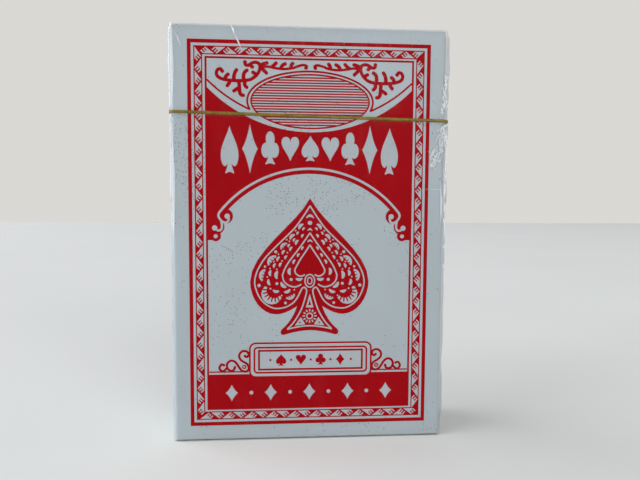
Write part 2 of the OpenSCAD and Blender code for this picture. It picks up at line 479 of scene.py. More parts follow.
@dataclass(frozen=True)
class CardFinish(Finish):
    """Coated card stock, with painted shade as a grey line between the edges of neighbouring cards."""

    name: str
    stock: Colour
    first: float
    pitch: float
    thickness: float
    # The colour of the painted shade between neighbouring cards.
    gap: Colour = (0.20, 0.20, 0.21)
    gap_shade_span: Span = (0.30, 0.46)
    gap_shade_strength: float = 0.7
    tones: Span = (0.90, 1.04)
    mottle: float = 0.05
    grain_scale: float = 1.3
    roughness: Span = (0.3, 0.6)

    def look(self, wires: Wiring) -> Look:
        """Wire the stock's tone from card to card and the painted shade in the lines between edges.

        Args:
            wires: The material's wiring.

        Returns:
            The shader's inputs.
        """
        spot = wires.node("ShaderNodeTexCoord")
        depth = wires.node("ShaderNodeSeparateXYZ", {0: spot.outputs["Object"]}).outputs["Y"]
        facing = wires.node("ShaderNodeSeparateXYZ", {0: spot.outputs["Normal"]}).outputs["Y"]
        edge = wires.math("LESS_THAN", wires.math("ABSOLUTE", facing), 0.5)
        run = wires.math("DIVIDE", wires.math("SUBTRACT", depth, self.first), self.pitch)
        place = wires.math("MULTIPLY", wires.math("FRACT", run), self.pitch / self.thickness)
        rim = wires.span(wires.math("ABSOLUTE", wires.math("SUBTRACT", place, 0.5)), *self.gap_shade_span)
        card = {"W": wires.math("FLOOR", run)}
        number = wires.node("ShaderNodeTexWhiteNoise", card, noise_dimensions="1D").outputs["Value"]
        grain = wires.effect(GROUPS.grain, Scale=self.grain_scale, Amount=self.mottle)
        tone = wires.math("MULTIPLY", grain["Tone"], wires.ramp(number, *self.tones))
        # Painted shade near each card's faces, where neighbouring cards meet, shown on the edges only.
        painted_shade = wires.math("MULTIPLY", wires.math("MULTIPLY", rim, edge), self.gap_shade_strength)
        return {
            "Base Color": wires.mix(painted_shade, wires.tint((*self.stock,), tone), self.gap),
            "Roughness": wires.ramp(grain["Height"], *self.roughness),
        }


@dataclass(frozen=True)
class FilmFinish(Finish):
    """Clear film: it lets light straight through and mirrors more of it at a slant and along ripples."""

    name: str
    colour: Colour = (0.95, 0.97, 1.0)
    gain: float = 2.6
    clear: float = 0.036
    most: float = 0.7
    haze: float = 0.008
    ior: float = 1.46
    roughness: Span = (0.05, 0.17)
    bump: float = 0.3
    bump_depth: float = 0.6 * MM

    def look(self, wires: Wiring) -> Look:
        """Wire the share of light that the film's outer side mirrors.

        Args:
            wires: The material's wiring.

        Returns:
            The shader's inputs.
        """
        ripple = wires.effect(GROUPS.ripple)
        bump = wires.bump(ripple["Height"], self.bump, self.bump_depth)
        mirror = wires.node("ShaderNodeFresnel", {"IOR": self.ior, "Normal": bump}).outputs[0]
        slant = wires.math("MULTIPLY", wires.math("SUBTRACT", mirror, self.clear), self.gain, clamp=True)
        veil = wires.math("MULTIPLY", ripple["Haze"], self.haze)
        outside = wires.math("SUBTRACT", 1.0, wires.node("ShaderNodeNewGeometry").outputs["Backfacing"])
        share = wires.math("MINIMUM", wires.math("ADD", slant, veil), self.most)
        return {
            "Base Color": (*self.colour, 1.0),
            "Metallic": 1.0,
            "Roughness": wires.ramp(ripple["Haze"], *self.roughness),
            "Alpha": wires.math("MULTIPLY", share, outside),
            "Normal": bump,
        }


@dataclass(frozen=True)
class PaintedGlintFinish(Finish):
    """Painted highlight: a white stroke standing for the light that a crease or sheen in the film scatters.
    """

    name: str
    solid: float = 0.75
    haze: float = 0.3
    # The white of the painted highlight.
    colour: Colour = (0.94, 0.97, 1.0)
    tones: Span = (0.8, 1.1)
    roughness: float = 0.25
    ripple_scale: float = 2.0

    def look(self, wires: Wiring) -> Look:
        """Wire the painted highlight's uneven white.

        Args:
            wires: The material's wiring.

        Returns:
            The shader's inputs.
        """
        ripple = wires.effect(GROUPS.ripple, Scale=self.ripple_scale)
        tone = wires.ramp(ripple["Height"], *self.tones)
        return {
            "Base Color": wires.tint((*self.colour,), tone),
            "Roughness": self.roughness,
            "Alpha": wires.math("MULTIPLY_ADD", ripple["Haze"], self.haze, self.solid, clamp=True),
        }


@dataclass(frozen=True)
class TapeFinish(Finish):
    """The gold tear tape: tinted, glossy and partly clear, with painted shade in the troughs of its ripple.
    """

    name: str
    gold: Colour = (0.30, 0.205, 0.006)
    # The colour of the painted shade in the ripple's troughs.
    painted_shade: Colour = (0.20, 0.13, 0.004)
    painted_shade_span: Span = (0.35, 0.8)
    metal: float = 0.1
    roughness: Span = (0.2, 0.4)
    cover: Span = (0.72, 0.84)
    bump: float = 0.4
    bump_depth: float = 0.3 * MM
    ripple_scale: float = 2.5

    def look(self, wires: Wiring) -> Look:
        """Wire the tape's colour between its gold and a painted shade, by the ripple's height.

        Args:
            wires: The material's wiring.

        Returns:
            The shader's inputs.
        """
        ripple = wires.effect(GROUPS.ripple, Scale=self.ripple_scale)
        lit = wires.span(ripple["Height"], *self.painted_shade_span)
        return {
            "Base Color": wires.mix(lit, self.painted_shade, self.gold),
            "Metallic": self.metal,
            "Roughness": wires.ramp(ripple["Haze"], *self.roughness),
            "Alpha": wires.ramp(ripple["Haze"], *self.cover),
            "Normal": wires.bump(ripple["Height"], self.bump, self.bump_depth),
        }


@dataclass(frozen=True)
class StageFinish(Finish):
    """The pale, matte floor."""

    name: str
    colour: Colour = (0.76, 0.75, 0.72)
    mottle: float = 0.02
    grain_scale: float = 0.15
    roughness: float = 0.8

    def look(self, wires: Wiring) -> Look:
        """Wire the floor's faint cloudiness.

        Args:
            wires: The material's wiring.

        Returns:
            The shader's inputs.
        """
        grain = wires.effect(GROUPS.grain, Scale=self.grain_scale, Amount=self.mottle)
        return {
            "Base Color": wires.tint((*self.colour,), grain["Tone"]),
            "Roughness": self.roughness,
            "Specular IOR Level": MATTE,
        }


def link_mesh(name: str, shape: bmesh.types.BMesh, material: bpy.types.Material) -> bpy.types.Object:
    """Make a shown object from a bmesh and free the bmesh.

    Args:
        name: The piece's name.
        shape: Its mesh, in the part's frame.
        material: Its only material.

    Returns:
        The new object.
    """
    mesh = bpy.data.meshes.new(name)
    shape.to_mesh(mesh)
    shape.free()
    mesh.materials.append(material)
    made = bpy.data.objects.new(name, mesh)
    bpy.context.scene.collection.objects.link(made)
    return made


class Draw:
    """Outlines for the print, each a closed path in millimetres."""

    # Each outline's right half, from the top down: a knot, the handle before it and the one after.
    SPADE_BODY = (
        ((0.0, 1.405), (0.0, 1.405), (0.22, 0.97)),
        ((1.0, 0.0), (1.0, 0.5), (1.0, -0.28)),
        ((0.56, -0.553), (0.81, -0.553), (0.38, -0.553)),
        ((0.0, -0.2), (0.12, -0.38), (0.0, -0.2)),
    )
    STEM = (
        ((0.0, -0.1), (0.0, -0.1), (0.12, -0.14)),
        ((0.21, -0.40), (0.15, -0.26), (0.27, -0.61)),
        ((0.46, -0.80), (0.38, -0.735), (0.515, -0.85)),
        ((0.43, -0.905), (0.49, -0.92), (0.34, -0.875)),
        ((0.0, -0.83), (0.15, -0.83), (0.0, -0.83)),
    )
    HEART = (
        ((0.0, 0.50), (0.0, 0.50), (0.05, 0.84)),
        ((0.52, 0.95), (0.25, 0.95), (0.82, 0.95)),
        ((1.0, 0.46), (1.0, 0.76), (1.0, 0.06)),
        ((0.0, -1.05), (0.30, -0.44), (0.0, -1.05)),
    )
    DIAMOND = (
        ((0.0, 1.2), (0.0, 1.2), (0.2, 0.72)),
        ((0.88, 0.0), (0.5, 0.28), (0.5, -0.28)),
        ((0.0, -1.2), (0.2, -0.72), (0.0, -1.2)),
    )
    SPAN_STEPS = 9
    CRESCENT_BITE = 0.75
    CRESCENT_LEAN = 0.42
    BEAN_BEND = 0.16

    @classmethod
    def mirrored(cls, knots: Sequence) -> Path:
        """Close a path from the knots of its right half.

        Args:
            knots: Each knot with its handles before and after, from the top to the bottom.

        Returns:
            The whole outline.
        """
        right: Path = []
        for (a, _, out), (b, into, _) in zip(knots, knots[1:], strict=False):
            flat = [Vector((*p, 0.0)) for p in (a, out, into, b)]
            right += [(p.x, p.y) for p in interpolate_bezier(*flat, cls.SPAN_STEPS)][:-1]
        right.append(knots[-1][0])
        return right + [(-x, y) for x, y in reversed(right[1:-1])]

    @staticmethod
    def placed(path: Path, at: Point, size: float, stretch: float = 1.0, turn: float = 0.0) -> Path:
        """Scale, turn and move a path.

        Args:
            path: The outline.
            at: Where its origin goes.
            size: Its scale.
            stretch: A further scale of its height.
            turn: Its turn in radians, anticlockwise.

        Returns:
            The new outline.
        """
        c, s = math.cos(turn), math.sin(turn)
        made = []
        for x, y in path:
            u, v = x * size, y * size * stretch
            made.append((at[0] + u * c - v * s, at[1] + u * s + v * c))
        return made

    @staticmethod
    def rectangle(half_w: float, half_h: float, at: Point = (0.0, 0.0)) -> Path:
        """Return a rectangle about a point."""
        corners = ((-1, -1), (1, -1), (1, 1), (-1, 1))
        return [(at[0] + u * half_w, at[1] + v * half_h) for u, v in corners]

    @staticmethod
    def plate(half_w: float, half_h: float, radius: float, at: Point, steps: int = 8) -> Path:
        """Draw a rectangle with round corners.

        Args:
            half_w: Half its width.
            half_h: Half its height.
            radius: The corners' radius.
            at: Its middle.
            steps: How many steps each corner takes.

        Returns:
            The outline.
        """
        made: Path = []
        for quarter, (sx, sy) in enumerate(((1, 1), (-1, 1), (-1, -1), (1, -1))):
            x, y = at[0] + sx * (half_w - radius), at[1] + sy * (half_h - radius)
            for step in range(steps + 1):
                a = math.radians(90 * quarter + 90 * step / steps)
                made.append((x + radius * math.cos(a), y + radius * math.sin(a)))
        return made

    @staticmethod
    def ellipse(half_w: float, half_h: float, at: Point = (0.0, 0.0), steps: int = 48) -> Path:
        """Return an ellipse about a point."""
        turns = [math.tau * i / steps for i in range(steps)]
        return [(at[0] + half_w * math.cos(a), at[1] + half_h * math.sin(a)) for a in turns]

    @classmethod
    def dot(cls, radius: float, at: Point, steps: int = 16) -> Path:
        """Return a circle about a point."""
        return cls.ellipse(radius, radius, at, steps)

    @staticmethod
    def arc(centre: Point, radius: float, first: float, last: float, steps: int = 48) -> Path:
        """Return an open arc between two angles in degrees."""
        angles = [math.radians(first + (last - first) * i / steps) for i in range(steps + 1)]
        return [(centre[0] + radius * math.cos(a), centre[1] + radius * math.sin(a)) for a in angles]

    @staticmethod
    def bow(start: Point, bend: Point, end: Point, steps: int = 24) -> Path:
        """Draw an open curve that leans to one side.

        Args:
            start: Where it starts.
            bend: The point that it leans towards.
            end: Where it ends.
            steps: How many steps it takes.

        Returns:
            The curve.
        """
        made: Path = []
        for i in range(steps + 1):
            t = i / steps
            near, mid, far = (1 - t) ** 2, 2 * t * (1 - t), t * t
            x, y = (near * a + mid * b + far * c for a, b, c in zip(start, bend, end, strict=True))
            made.append((x, y))
        return made

    @staticmethod
    def through(spots: Sequence[Point], steps: int = 6) -> Path:
        """Draw an open smooth curve through points.

        Args:
            spots: The points.
            steps: How many steps there are from one point to the next.

        Returns:
            The curve.
        """
        flat = [Vector((*p, 0.0)) for p in spots]
        made: list[Vector] = []
        for i, (a, b) in enumerate(zip(flat, flat[1:], strict=False)):
            before, after = flat[max(i - 1, 0)], flat[min(i + 2, len(flat) - 1)]
            made += interpolate_bezier(a, a + (b - before) / 6, b - (after - a) / 6, b, steps + 1)[:-1]
        return [(p.x, p.y) for p in (*made, flat[-1])]

    @classmethod
    def bean(cls, at: Point, length: float, width: float, turn: float, bend: float = BEAN_BEND) -> Path:
        """Draw a bean: a short bent stroke that is thickest in its middle.

        Args:
            at: Its middle.
            length: Its length.
            width: Its width in the middle.
            turn: The direction of its length in radians. It bulges to the left of that.
            bend: How far its middle stands off, as a share of its length.

        Returns:
            The outline.
        """
        steps = 10
        sides: dict[int, Path] = {1: [], -1: []}
        for i in range(steps + 1):
            run = 2 * i / steps - 1
            round_off = 1 - run * run
            for side, made in sides.items():
                y = bend * length * (round_off - 0.5) + side * width / 2 * math.sqrt(round_off)
                made.append((run * length / 2, y))
        return cls.placed(sides[1] + sides[-1][-2:0:-1], at, 1.0, 1.0, turn)

    @staticmethod
    def stroke(line: Path, width: float, tip: float | None = None) -> Path:
        """Give an open line a width.

        Args:
            line: The middle of the stroke.
            width: Its width at the start.
            tip: Its width at the end, or None for the same.

        Returns:
            The stroke's outline.
        """
        end = width if tip is None else tip
        left, right = [], []
        count = len(line) - 1
        for i, (x, y) in enumerate(line):
            (ax, ay), (bx, by) = line[max(i - 1, 0)], line[min(i + 1, count)]
            run = math.hypot(bx - ax, by - ay) or 1.0
            half = (width + (end - width) * i / count) / 2
            nx, ny = -(by - ay) / run * half, (bx - ax) / run * half
            left.append((x + nx, y + ny))
            right.append((x - nx, y - ny))
        return left + right[::-1]

    @classmethod
    def ribbon(cls, line: Path, width: float, run: int = 4) -> list[Path]:
        """Give a long winding line a width, in pieces too short to cross themselves.

        Args:
            line: The middle of the ribbon.
            width: Its width.
            run: How many steps of the line a piece takes.

        Returns:
            The outlines of the pieces.
        """
        edge = cls.stroke(line, width)
        left, right = edge[: len(line)], edge[: len(line) - 1 : -1]
        spans = [slice(first, first + run + 1) for first in range(0, len(line) - 1, run)]
        return [left[span] + right[span][::-1] for span in spans]

    @classmethod
    def crescent(cls, at: Point, radius: float, turn: float) -> Path:
        """Draw a fat crescent, whose inner round has a moved middle and a smaller radius.

        Args:
            at: The middle of its outer round.
            radius: Its outer radius.
            turn: The direction that it opens in, in radians.

        Returns:
            The outline.
        """
        made: Path = []
        for reach, shift, angles in (
            (1.0, 0.0, range(77, 285, 23)),
            (cls.CRESCENT_BITE, cls.CRESCENT_LEAN, range(260, 99, -20)),
        ):
            for degrees in angles:
                a = math.radians(degrees) + turn
                x = at[0] + radius * (reach * math.cos(a) + shift * math.cos(turn))
                y = at[1] + radius * (reach * math.sin(a) + shift * math.sin(turn))
                made.append((x, y))
        return made

    @classmethod
    def pip(cls, suit: Suit, at: Point, size: float, stretch: float = 1.0) -> list[Path]:
        """Draw a suit's pip.

        Args:
            suit: Which suit.
            at: The pip's middle.
            size: Half its width.
            stretch: A further scale of its height.

        Returns:
            The outlines that make it up.
        """
        if suit is Suit.HEART:
            parts = [cls.mirrored(cls.HEART)]
        elif suit is Suit.DIAMOND:
            parts = [cls.mirrored(cls.DIAMOND)]
        elif suit is Suit.SPADE:
            halves = (cls.mirrored(cls.SPADE_BODY), cls.mirrored(cls.STEM))
            parts = [[(x, y - 0.25) for x, y in half] for half in halves]
        else:
            parts = [cls.dot(0.5, p, 24) for p in ((0.0, 0.62), (-0.5, -0.12), (0.5, -0.12))]
            parts.append([(x * 1.1, y - 0.15) for x, y in cls.mirrored(cls.STEM)])
            parts.append(cls.ellipse(0.2, 0.3, (0.0, 0.1), 16))
        return [cls.placed(p, at, size, stretch) for p in parts]


@dataclass
class InkSheet:
    """One printed face: outlines gathered by ink layer and turned into thin slabs of ink."""

    name: str
    plane: Matrix
    stagger: float = 0.00012
    stagger_steps: int = 47
    shapes: dict[Ink, list[list[Path]]] = field(default_factory=lambda: {layer: [] for layer in Ink})

    def add(self, layer: Ink, outline: Path, *holes: Path) -> None:
        """Add an outline, with any holes in it, to a layer."""
        self.shapes[layer].append([outline, *holes])

    def add_all(self, layer: Ink, outlines: Iterable[Path]) -> None:
        """Add several outlines without holes to a layer."""
        for outline in outlines:
            self.add(layer, outline)

    def both_sides(self, layer: Ink, *paths: Path, axis: float = 0.0) -> None:
        """Add an outline, with any holes in it, and its mirror image about an axis to a layer."""
        self.add(layer, *paths)
        self.add(layer, *([(2 * axis - x, y) for x, y in reversed(path)] for path in paths))

    def build(self, materials: dict[Ink, bpy.types.Material]) -> list[bpy.types.Object]:
        """Make one object for each layer that has anything in it."""
        return [self._layer(layer, materials[layer]) for layer in Ink if self.shapes[layer]]

    def _layer(self, layer: Ink, material: bpy.types.Material) -> bpy.types.Object:
        """Fill a layer's outlines as flat curves and join them in one mesh.

        Args:
            layer: Which layer.
            material: Its material.

        Returns:
            The new object.
        """
        curves = []
        for number, group in enumerate(self.shapes[layer]):
            rise = layer.value + self.stagger * (number % self.stagger_steps)
            curves.append(self._curve(group, rise * MM))
        bpy.context.view_layer.update()
        graph = bpy.context.evaluated_depsgraph_get()
        shape = bmesh.new()
        for holder in curves:
            flat = bpy.data.meshes.new_from_object(holder.evaluated_get(graph))
            flat.transform(Matrix.Translation((0.0, 0.0, holder.data.extrude)))
            shape.from_mesh(flat)
            bpy.data.meshes.remove(flat)
        for holder in curves:
            bpy.data.curves.remove(holder.data)
        bmesh.ops.remove_doubles(shape, verts=shape.verts, dist=1e-8)
        bmesh.ops.transform(shape, matrix=self.plane, verts=shape.verts)
        bmesh.ops.recalc_face_normals(shape, faces=shape.faces)
        return link_mesh(f"{self.name}_{layer.name.lower()}", shape, material)

    def _curve(self, group: Sequence[Path], height: float) -> bpy.types.Object:
        """Make a filled flat curve, as thick as the ink.

        Args:
            group: An outline, then any holes in it.
            height: The ink's thickness.

        Returns:
            The curve's object.
        """
        curve = bpy.data.curves.new(self.name, "CURVE")
        curve.dimensions = "2D"
        curve.fill_mode = "BOTH"
        curve.extrude = height / 2
        for path in group:
            spline = curve.splines.new("POLY")
            spline.points.add(len(path) - 1)
            for point, (x, y) in zip(spline.points, path, strict=True):
                point.co = (x * MM, y * MM, 0.0, 1.0)
            spline.use_cyclic_u = True
        holder = bpy.data.objects.new(self.name, curve)
        bpy.context.scene.collection.objects.link(holder)
        return holder


@dataclass
class FrontPrint:
    """The front's print, in millimetres from the middle of the front.

    It has a ruled frame, a toothed border, an oval, an arch with pips, a spade, a plate and a foot band.
    """

    # Each row's quarter turns, its count of forks and where its first one stands, in pitches.
    FORK_ROWS = ((0, 20, 0.85), (-1, 31, 1.1), (2, 20, 0.5), (1, 32, 0.7))
    FORK = (
        *((0.57, 0.0), (-0.39, 0.0), (-0.62, 0.40), (-0.54, 0.53), (-0.30, 0.11), (-0.20, 0.23)),
        *((-0.43, 0.66), (-0.355, 0.79), (-0.135, 0.34), (-0.045, 0.46), (-0.28, 0.90), (-0.21, 1.0)),
    )
    # How far the ring's outer and inner edge lie inside the oval, across and up.
    OVAL_RING = ((0.64, 0.5), (1.0, 0.86))
    VINE_STEM = (
        *((-18.9, 35.4), (-19.2, 35.85), (-19.8, 35.7), (-20.1, 35.0), (-19.75, 34.2), (-18.4, 33.65)),
        *((-16.2, 33.45), (-14.0, 33.55), (-12.7, 33.85), (-11.5, 34.8), (-10.9, 36.0)),
        *((-11.05, 37.05), (-11.8, 37.4), (-12.6, 37.2), (-13.3, 36.75), (-13.95, 36.85), (-14.05, 37.4)),
    )
    VINE_RUNNER = (
        *((-10.9, 36.3), (-9.4, 36.55), (-7.6, 36.25), (-5.8, 36.1), (-4.0, 36.3), (-2.6, 36.8)),
        *((-1.5, 37.05), (-0.85, 36.8), (-1.0, 36.45)),
    )
    # Each twig's root, bend and tip.
    VINE_TWIGS = (
        ((-18.2, 33.7), (-18.3, 34.3), (-17.65, 34.75)),
        ((-16.4, 33.5), (-16.5, 34.9), (-15.85, 35.7)),
        ((-14.3, 33.6), (-14.6, 35.2), (-13.65, 35.65)),
        ((-11.7, 34.7), (-11.9, 35.1), (-12.35, 35.25)),
        ((-17.3, 33.5), (-17.3, 32.9), (-17.8, 32.4)),
        ((-15.4, 33.4), (-15.2, 32.3), (-15.25, 31.4)),
        ((-15.25, 31.7), (-15.2, 30.3), (-14.45, 30.4)),
        ((-15.3, 31.9), (-15.8, 31.8), (-16.4, 31.3)),
        ((-14.0, 33.5), (-14.4, 32.6), (-13.7, 32.1)),
        ((-12.9, 37.0), (-12.8, 36.6), (-12.5, 36.4)),
        ((-10.8, 36.7), (-10.1, 37.2), (-9.4, 37.3)),
        ((-10.7, 36.4), (-10.1, 35.8), (-9.5, 35.2)),
        ((-8.4, 36.45), (-7.9, 36.8), (-7.45, 37.3)),
        ((-6.4, 36.15), (-6.2, 37.0), (-5.5, 37.2)),
        ((-4.2, 36.3), (-4.3, 36.9), (-3.9, 37.3)),
    )
    VINE_BUDS = ((-18.85, 35.4), (-1.0, 36.45), (-14.05, 37.4))
    # Each lobe's place and radius.
    ARCH_LOBES = (((-18.4, 4.5), 1.65), ((-20.2, 2.2), 1.6), ((-20.5, 0.2), 1.15))
    # The bend, end and steps of the curve from the arch's line to its hooks.
    ARCH_BEND = ((-20.5, 4.6), (-19.1, 3.4), 12)
    # Each hook's start, bend, end and steps.
    ARCH_HOOKS = (
        ((-19.2, 3.45), (-17.9, 2.5), (-17.6, 4.1), 12),
        ((-19.3, 3.6), (-18.7, 0.9), (-20.3, 1.5), 14),
    )
    # Each eye's place and radius.
    ARCH_EYES = (((-18.0, 4.5), 0.58), ((-20.7, 1.95), 0.58), ((-20.5, 0.15), 0.44))
    INSET = (
        *((0.0, 16.75), (-1.6, 14.25), (-3.45, 11.75), (-5.7, 9.5), (-7.9, 7.35), (-9.85, 5.25)),
        *((-11.1, 3.3), (-11.8, 1.7), (-12.1, 0.15), (-11.9, -1.4), (-11.05, -3.45), (-9.75, -4.9)),
        *((-8.1, -5.8), (-6.6, -5.9), (-4.95, -5.5), (-3.45, -4.5), (-2.55, -3.2), (-2.0, -2.05)),
        *((-1.6, -1.4), (-1.2, -1.25), (-0.75, -1.7), (-0.72, -2.4), (-1.15, -4.1), (-2.0, -6.5)),
        *((-3.45, -8.95), (-4.95, -10.6)),
    )
    FOOT = ((-4.95, -10.6), (-3.45, -10.25), (-1.6, -9.95), (0.0, -9.85))
    NEST = (
        *((0.0, 10.8), (-1.25, 8.95), (-2.7, 6.95), (-4.2, 5.0), (-5.3, 3.3), (-5.9, 1.85), (-6.0, 1.3)),
        *((-5.7, 0.15), (-4.75, -0.75), (-3.45, -1.15), (-2.55, -0.95), (-1.85, -0.55)),
    )
    HEART = (
        *((0.0, 8.15), (-0.95, 6.65), (-2.0, 5.1), (-2.9, 3.5), (-3.3, 2.6), (-3.1, 1.85)),
        *((-2.35, 1.3), (-1.6, 1.3), (-1.1, 1.6)),
    )
    # Each bean's place and length, and the direction of its back in degrees.
    BEANS = (
        *((-2.05, 12.25, 1.6, 140), (-3.95, 10.0, 1.6, 135), (-5.8, 7.95, 2.0, 135)),
        *((-8.45, 4.85, 2.8, 140), (-10.4, 1.55, 2.8, 165), (-1.4, 11.7, 0.8, 140)),
        *((-2.7, 10.75, 0.8, 150), (-3.5, 9.25, 0.85, 150), (-4.65, 8.0, 0.85, 150)),
        *((-5.85, 6.55, 1.1, 150), (-7.0, 5.1, 1.2, 150), (-7.8, 3.6, 1.1, 160)),
        *((-8.7, 1.95, 1.4, 175), (-9.0, -0.1, 1.5, 195), (-7.45, -2.05, 1.5, 260)),
        *((-1.65, 10.15, 0.95, 150), (-2.9, 8.75, 1.3, 150), (-4.2, 7.3, 1.1, 150)),
        *((-5.3, 5.45, 1.0, 150), (-6.5, 3.8, 1.1, 155), (-7.3, 1.55, 1.9, 175)),
        *((-5.85, -0.75, 1.8, 225), (-4.95, -2.1, 1.6, 295), (-4.2, -3.35, 2.2, 295)),
        *((-1.65, 7.45, 0.9, 150), (-2.55, 5.9, 0.95, 150), (-3.5, 4.45, 1.1, 155)),
        *((-4.45, 2.3, 1.7, 180), (-2.35, 0.6, 1.6, 270)),
    )
    # Each top bean's rise, length and width.
    TOP_BEANS = ((14.3, 1.8, 0.57), (11.45, 1.15, 0.4075), (8.95, 1.2, 0.42))
    # The drop's half width, half height and rise.
    TOP_DROP = (0.5, 0.44, 13.0)
    NOTCHES = (-0.25, 0.0, 0.25)
    # Each dot's place and radius.
    DOTS = (
        *((-3.15, 11.3, 0.17), (-5.1, 9.3, 0.17), (-4.5, 8.95, 0.17), (-7.5, 6.65, 0.33)),
        *((-6.9, 6.1, 0.17), (-4.95, 6.45, 0.17), (-7.9, 4.45, 0.17), (-6.1, 4.65, 0.17)),
        *((-9.85, 3.4, 0.25), (-8.75, 2.95, 0.17), (-7.25, 2.8, 0.17), (-9.35, 1.1, 0.17)),
        *((-7.25, -0.4, 0.32), (-11.15, -0.8, 0.36), (-8.65, -1.5, 0.2), (-3.4, -1.75, 0.17)),
        *((-6.2, -3.05, 0.17), (-5.35, -4.7, 0.3), (-4.1, 0.5, 0.34)),
    )
    # Each ring's half width and half height, and its line.
    KNOB_RINGS = (((1.2, 1.55), 0.28), ((0.62, 0.85), 0.24))
    STEM_SPIKE = ((0.0, -2.7), (-0.85, -5.75), (0.85, -5.75))
    STEM_SLOT = ((0.0, -4.1), (-0.36, -5.25), (0.36, -5.25))
    STEM_WEDGE = ((-1.95, -7.9), (-3.3, -9.8), (-0.95, -9.55))
    WEDGE_DOT = ((-2.15, -9.1), 0.2)
    # Each ring's half width, half height, corner radius and line.
    PLATE_RINGS = ((13.7, 4.0, 1.5, 0.38), (12.7, 3.02, 0.9, 0.38), (11.7, 2.32, 0.1, 0.42))
    PLATE_PIPS = (-6.6, -2.2, 2.2, 6.6)
    PLATE_DOTS = (-9.0, -4.4, 0.0, 4.4, 9.0)
    SCROLL = (
        *((-14.6, -26.4), (-14.2, -26.65), (-13.85, -26.3), (-13.85, -25.75), (-14.3, -25.35)),
        *((-15.0, -25.3), (-15.6, -25.7), (-15.85, -26.4), (-15.6, -27.15), (-15.0, -27.65)),
        *((-14.25, -28.1), (-13.85, -28.6), (-13.75, -29.25), (-14.1, -29.8), (-14.75, -29.9)),
        *((-15.4, -29.55), (-15.95, -28.8), (-16.5, -27.95), (-17.2, -27.45), (-17.9, -27.5)),
        *((-18.45, -28.05), (-18.55, -28.7), (-18.25, -29.35), (-17.6, -29.7), (-17.0, -29.45)),
        (-16.8, -28.9),
    )
    CURL = (
        *((-19.2, -28.4), (-19.7, -28.25), (-20.1, -28.7), (-20.1, -29.3), (-19.65, -29.75)),
        *((-19.1, -29.6), (-18.55, -29.05)),
    )
    # The frame, its border and the panel inside it
    half_w: float = 26.25
    half_h: float = 42.0
    rule: float = 0.8
    border_out: float = 1.34
    border_w: float = 1.86
    border_line: float = 0.24
    inner_rule: float = 0.42
    panel_w: float = 22.15
    panel_h: float = 38.05
    lap: float = 0.1
    fork_pitch: float = 2.45
    # The oval, the lines in it and the vine over it
    oval: Point = (0.0, 29.3)
    oval_w: float = 13.6
    oval_h: float = 6.4
    oval_line: float = 0.42
    cusp: float = 17.0
    field_gap: Point = (0.92, 0.78)
    field_line: float = 0.31
    field_pitch: float = 0.56
    sweep_bend: Point = (-18.2, 29.7)
    sweep_top: float = 33.6
    sweep_line: float = 0.4
    stem_line: float = 0.72
    runner_line: float = 0.56
    twig_line: Span = (0.84, 0.76)
    twig_tip: float = 0.4
    bud: float = 0.42
    # The brow, the arch and the pips between them
    brow: Point = (0.0, 53.9)
    brow_r: float = 31.14
    arch: Point = (0.0, -10.1)
    arch_r: float = 23.9
    arch_ends: Span = (39.0, 141.0)
    arch_line: float = 0.5
    arch_line_gap: float = 1.1
    arch_line_ends: Span = (39.2, 140.8)
    arch_foot: float = -0.7
    leg_foot: float = 20.8
    leg_top: Point = (19.6, 3.4)
    hook_tip: float = 0.44
    pip_pitch: float = 4.35
    pip_w: float = 1.9
    pip_floor: float = 1.5
    pip_fill: float = 0.36
    pip_most: float = 5.0
    pip_lift: float = 0.53
    pip_tall: float = 2.15
    # The spade and its lace
    spade: Point = (0.0, -9.9)
    spade_w: float = 13.1
    lace_line: float = 0.3
    knob_rise: float = 0.2
    bean_share: float = 0.3
    bean_least: float = 0.18
    top_bean_bend: float = 0.34
    notched: float = 1.9
    notch_line: Span = (0.26, 0.2)
    notch_lap: float = 0.1
    notch_share: float = 0.45
    fan_at: Point = (-8.35, -2.7)
    fan_r: float = 2.3
    fan_opening: float = 55.0
    comb_step: float = 20.0
    comb_span: Span = (0.7, 1.14)
    comb_line: Span = (0.36, 0.26)
    rose_drop: float = 7.65
    rose_r: float = 1.75
    rose_eye: Span = (0.76, 0.5)
    petals: int = 12
    petal_span: Span = (1.02, 1.55)
    petal_line: Span = (0.24, 0.34)
    # The plate, the scrolls beside it and the foot band
    plate: Point = (0.3, -27.4)
    plate_pip: float = 1.15
    plate_dot: float = 0.26
    scroll_line: float = 0.52
    scroll_end: float = 0.3
    ring_at: Point = (-14.75, -28.85)
    ring_r: Span = (0.48, 0.2)
    shelf_half: Point = (4.3, 0.15)
    shelf_x: float = -17.8
    shelf_rise: float = 0.62
    band_top: float = -30.55
    band_pitch: float = 4.3
    band_drop: float = 0.4
    band_dot: float = 0.42
    band_pip: float = 1.55

    def build(self) -> list[bpy.types.Object]:
        """Draw the front and lay it on the carton.

        Returns:
            The ink pieces.
        """
        low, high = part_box("front_panel")
        middle = Vector((0.0, low.y, (low.z + high.z) / 2))
        sheet = InkSheet("front_print", Face.FRONT.plane(middle))
        self.draw_frame(sheet)
        self.draw_oval(sheet)
        self.draw_arch(sheet)
        self.draw_spade(sheet)
        self.draw_foot(sheet)
        red = InkFinish("red_ink", RED).material()
        white = InkFinish("reserve_white", RESERVE, mottle=0.05, roughness=0.45, dust_cover=0.08).material()
        return sheet.build({Ink.GROUND: red, Ink.RESERVE: white, Ink.DETAIL: red, Ink.GLINT: white})

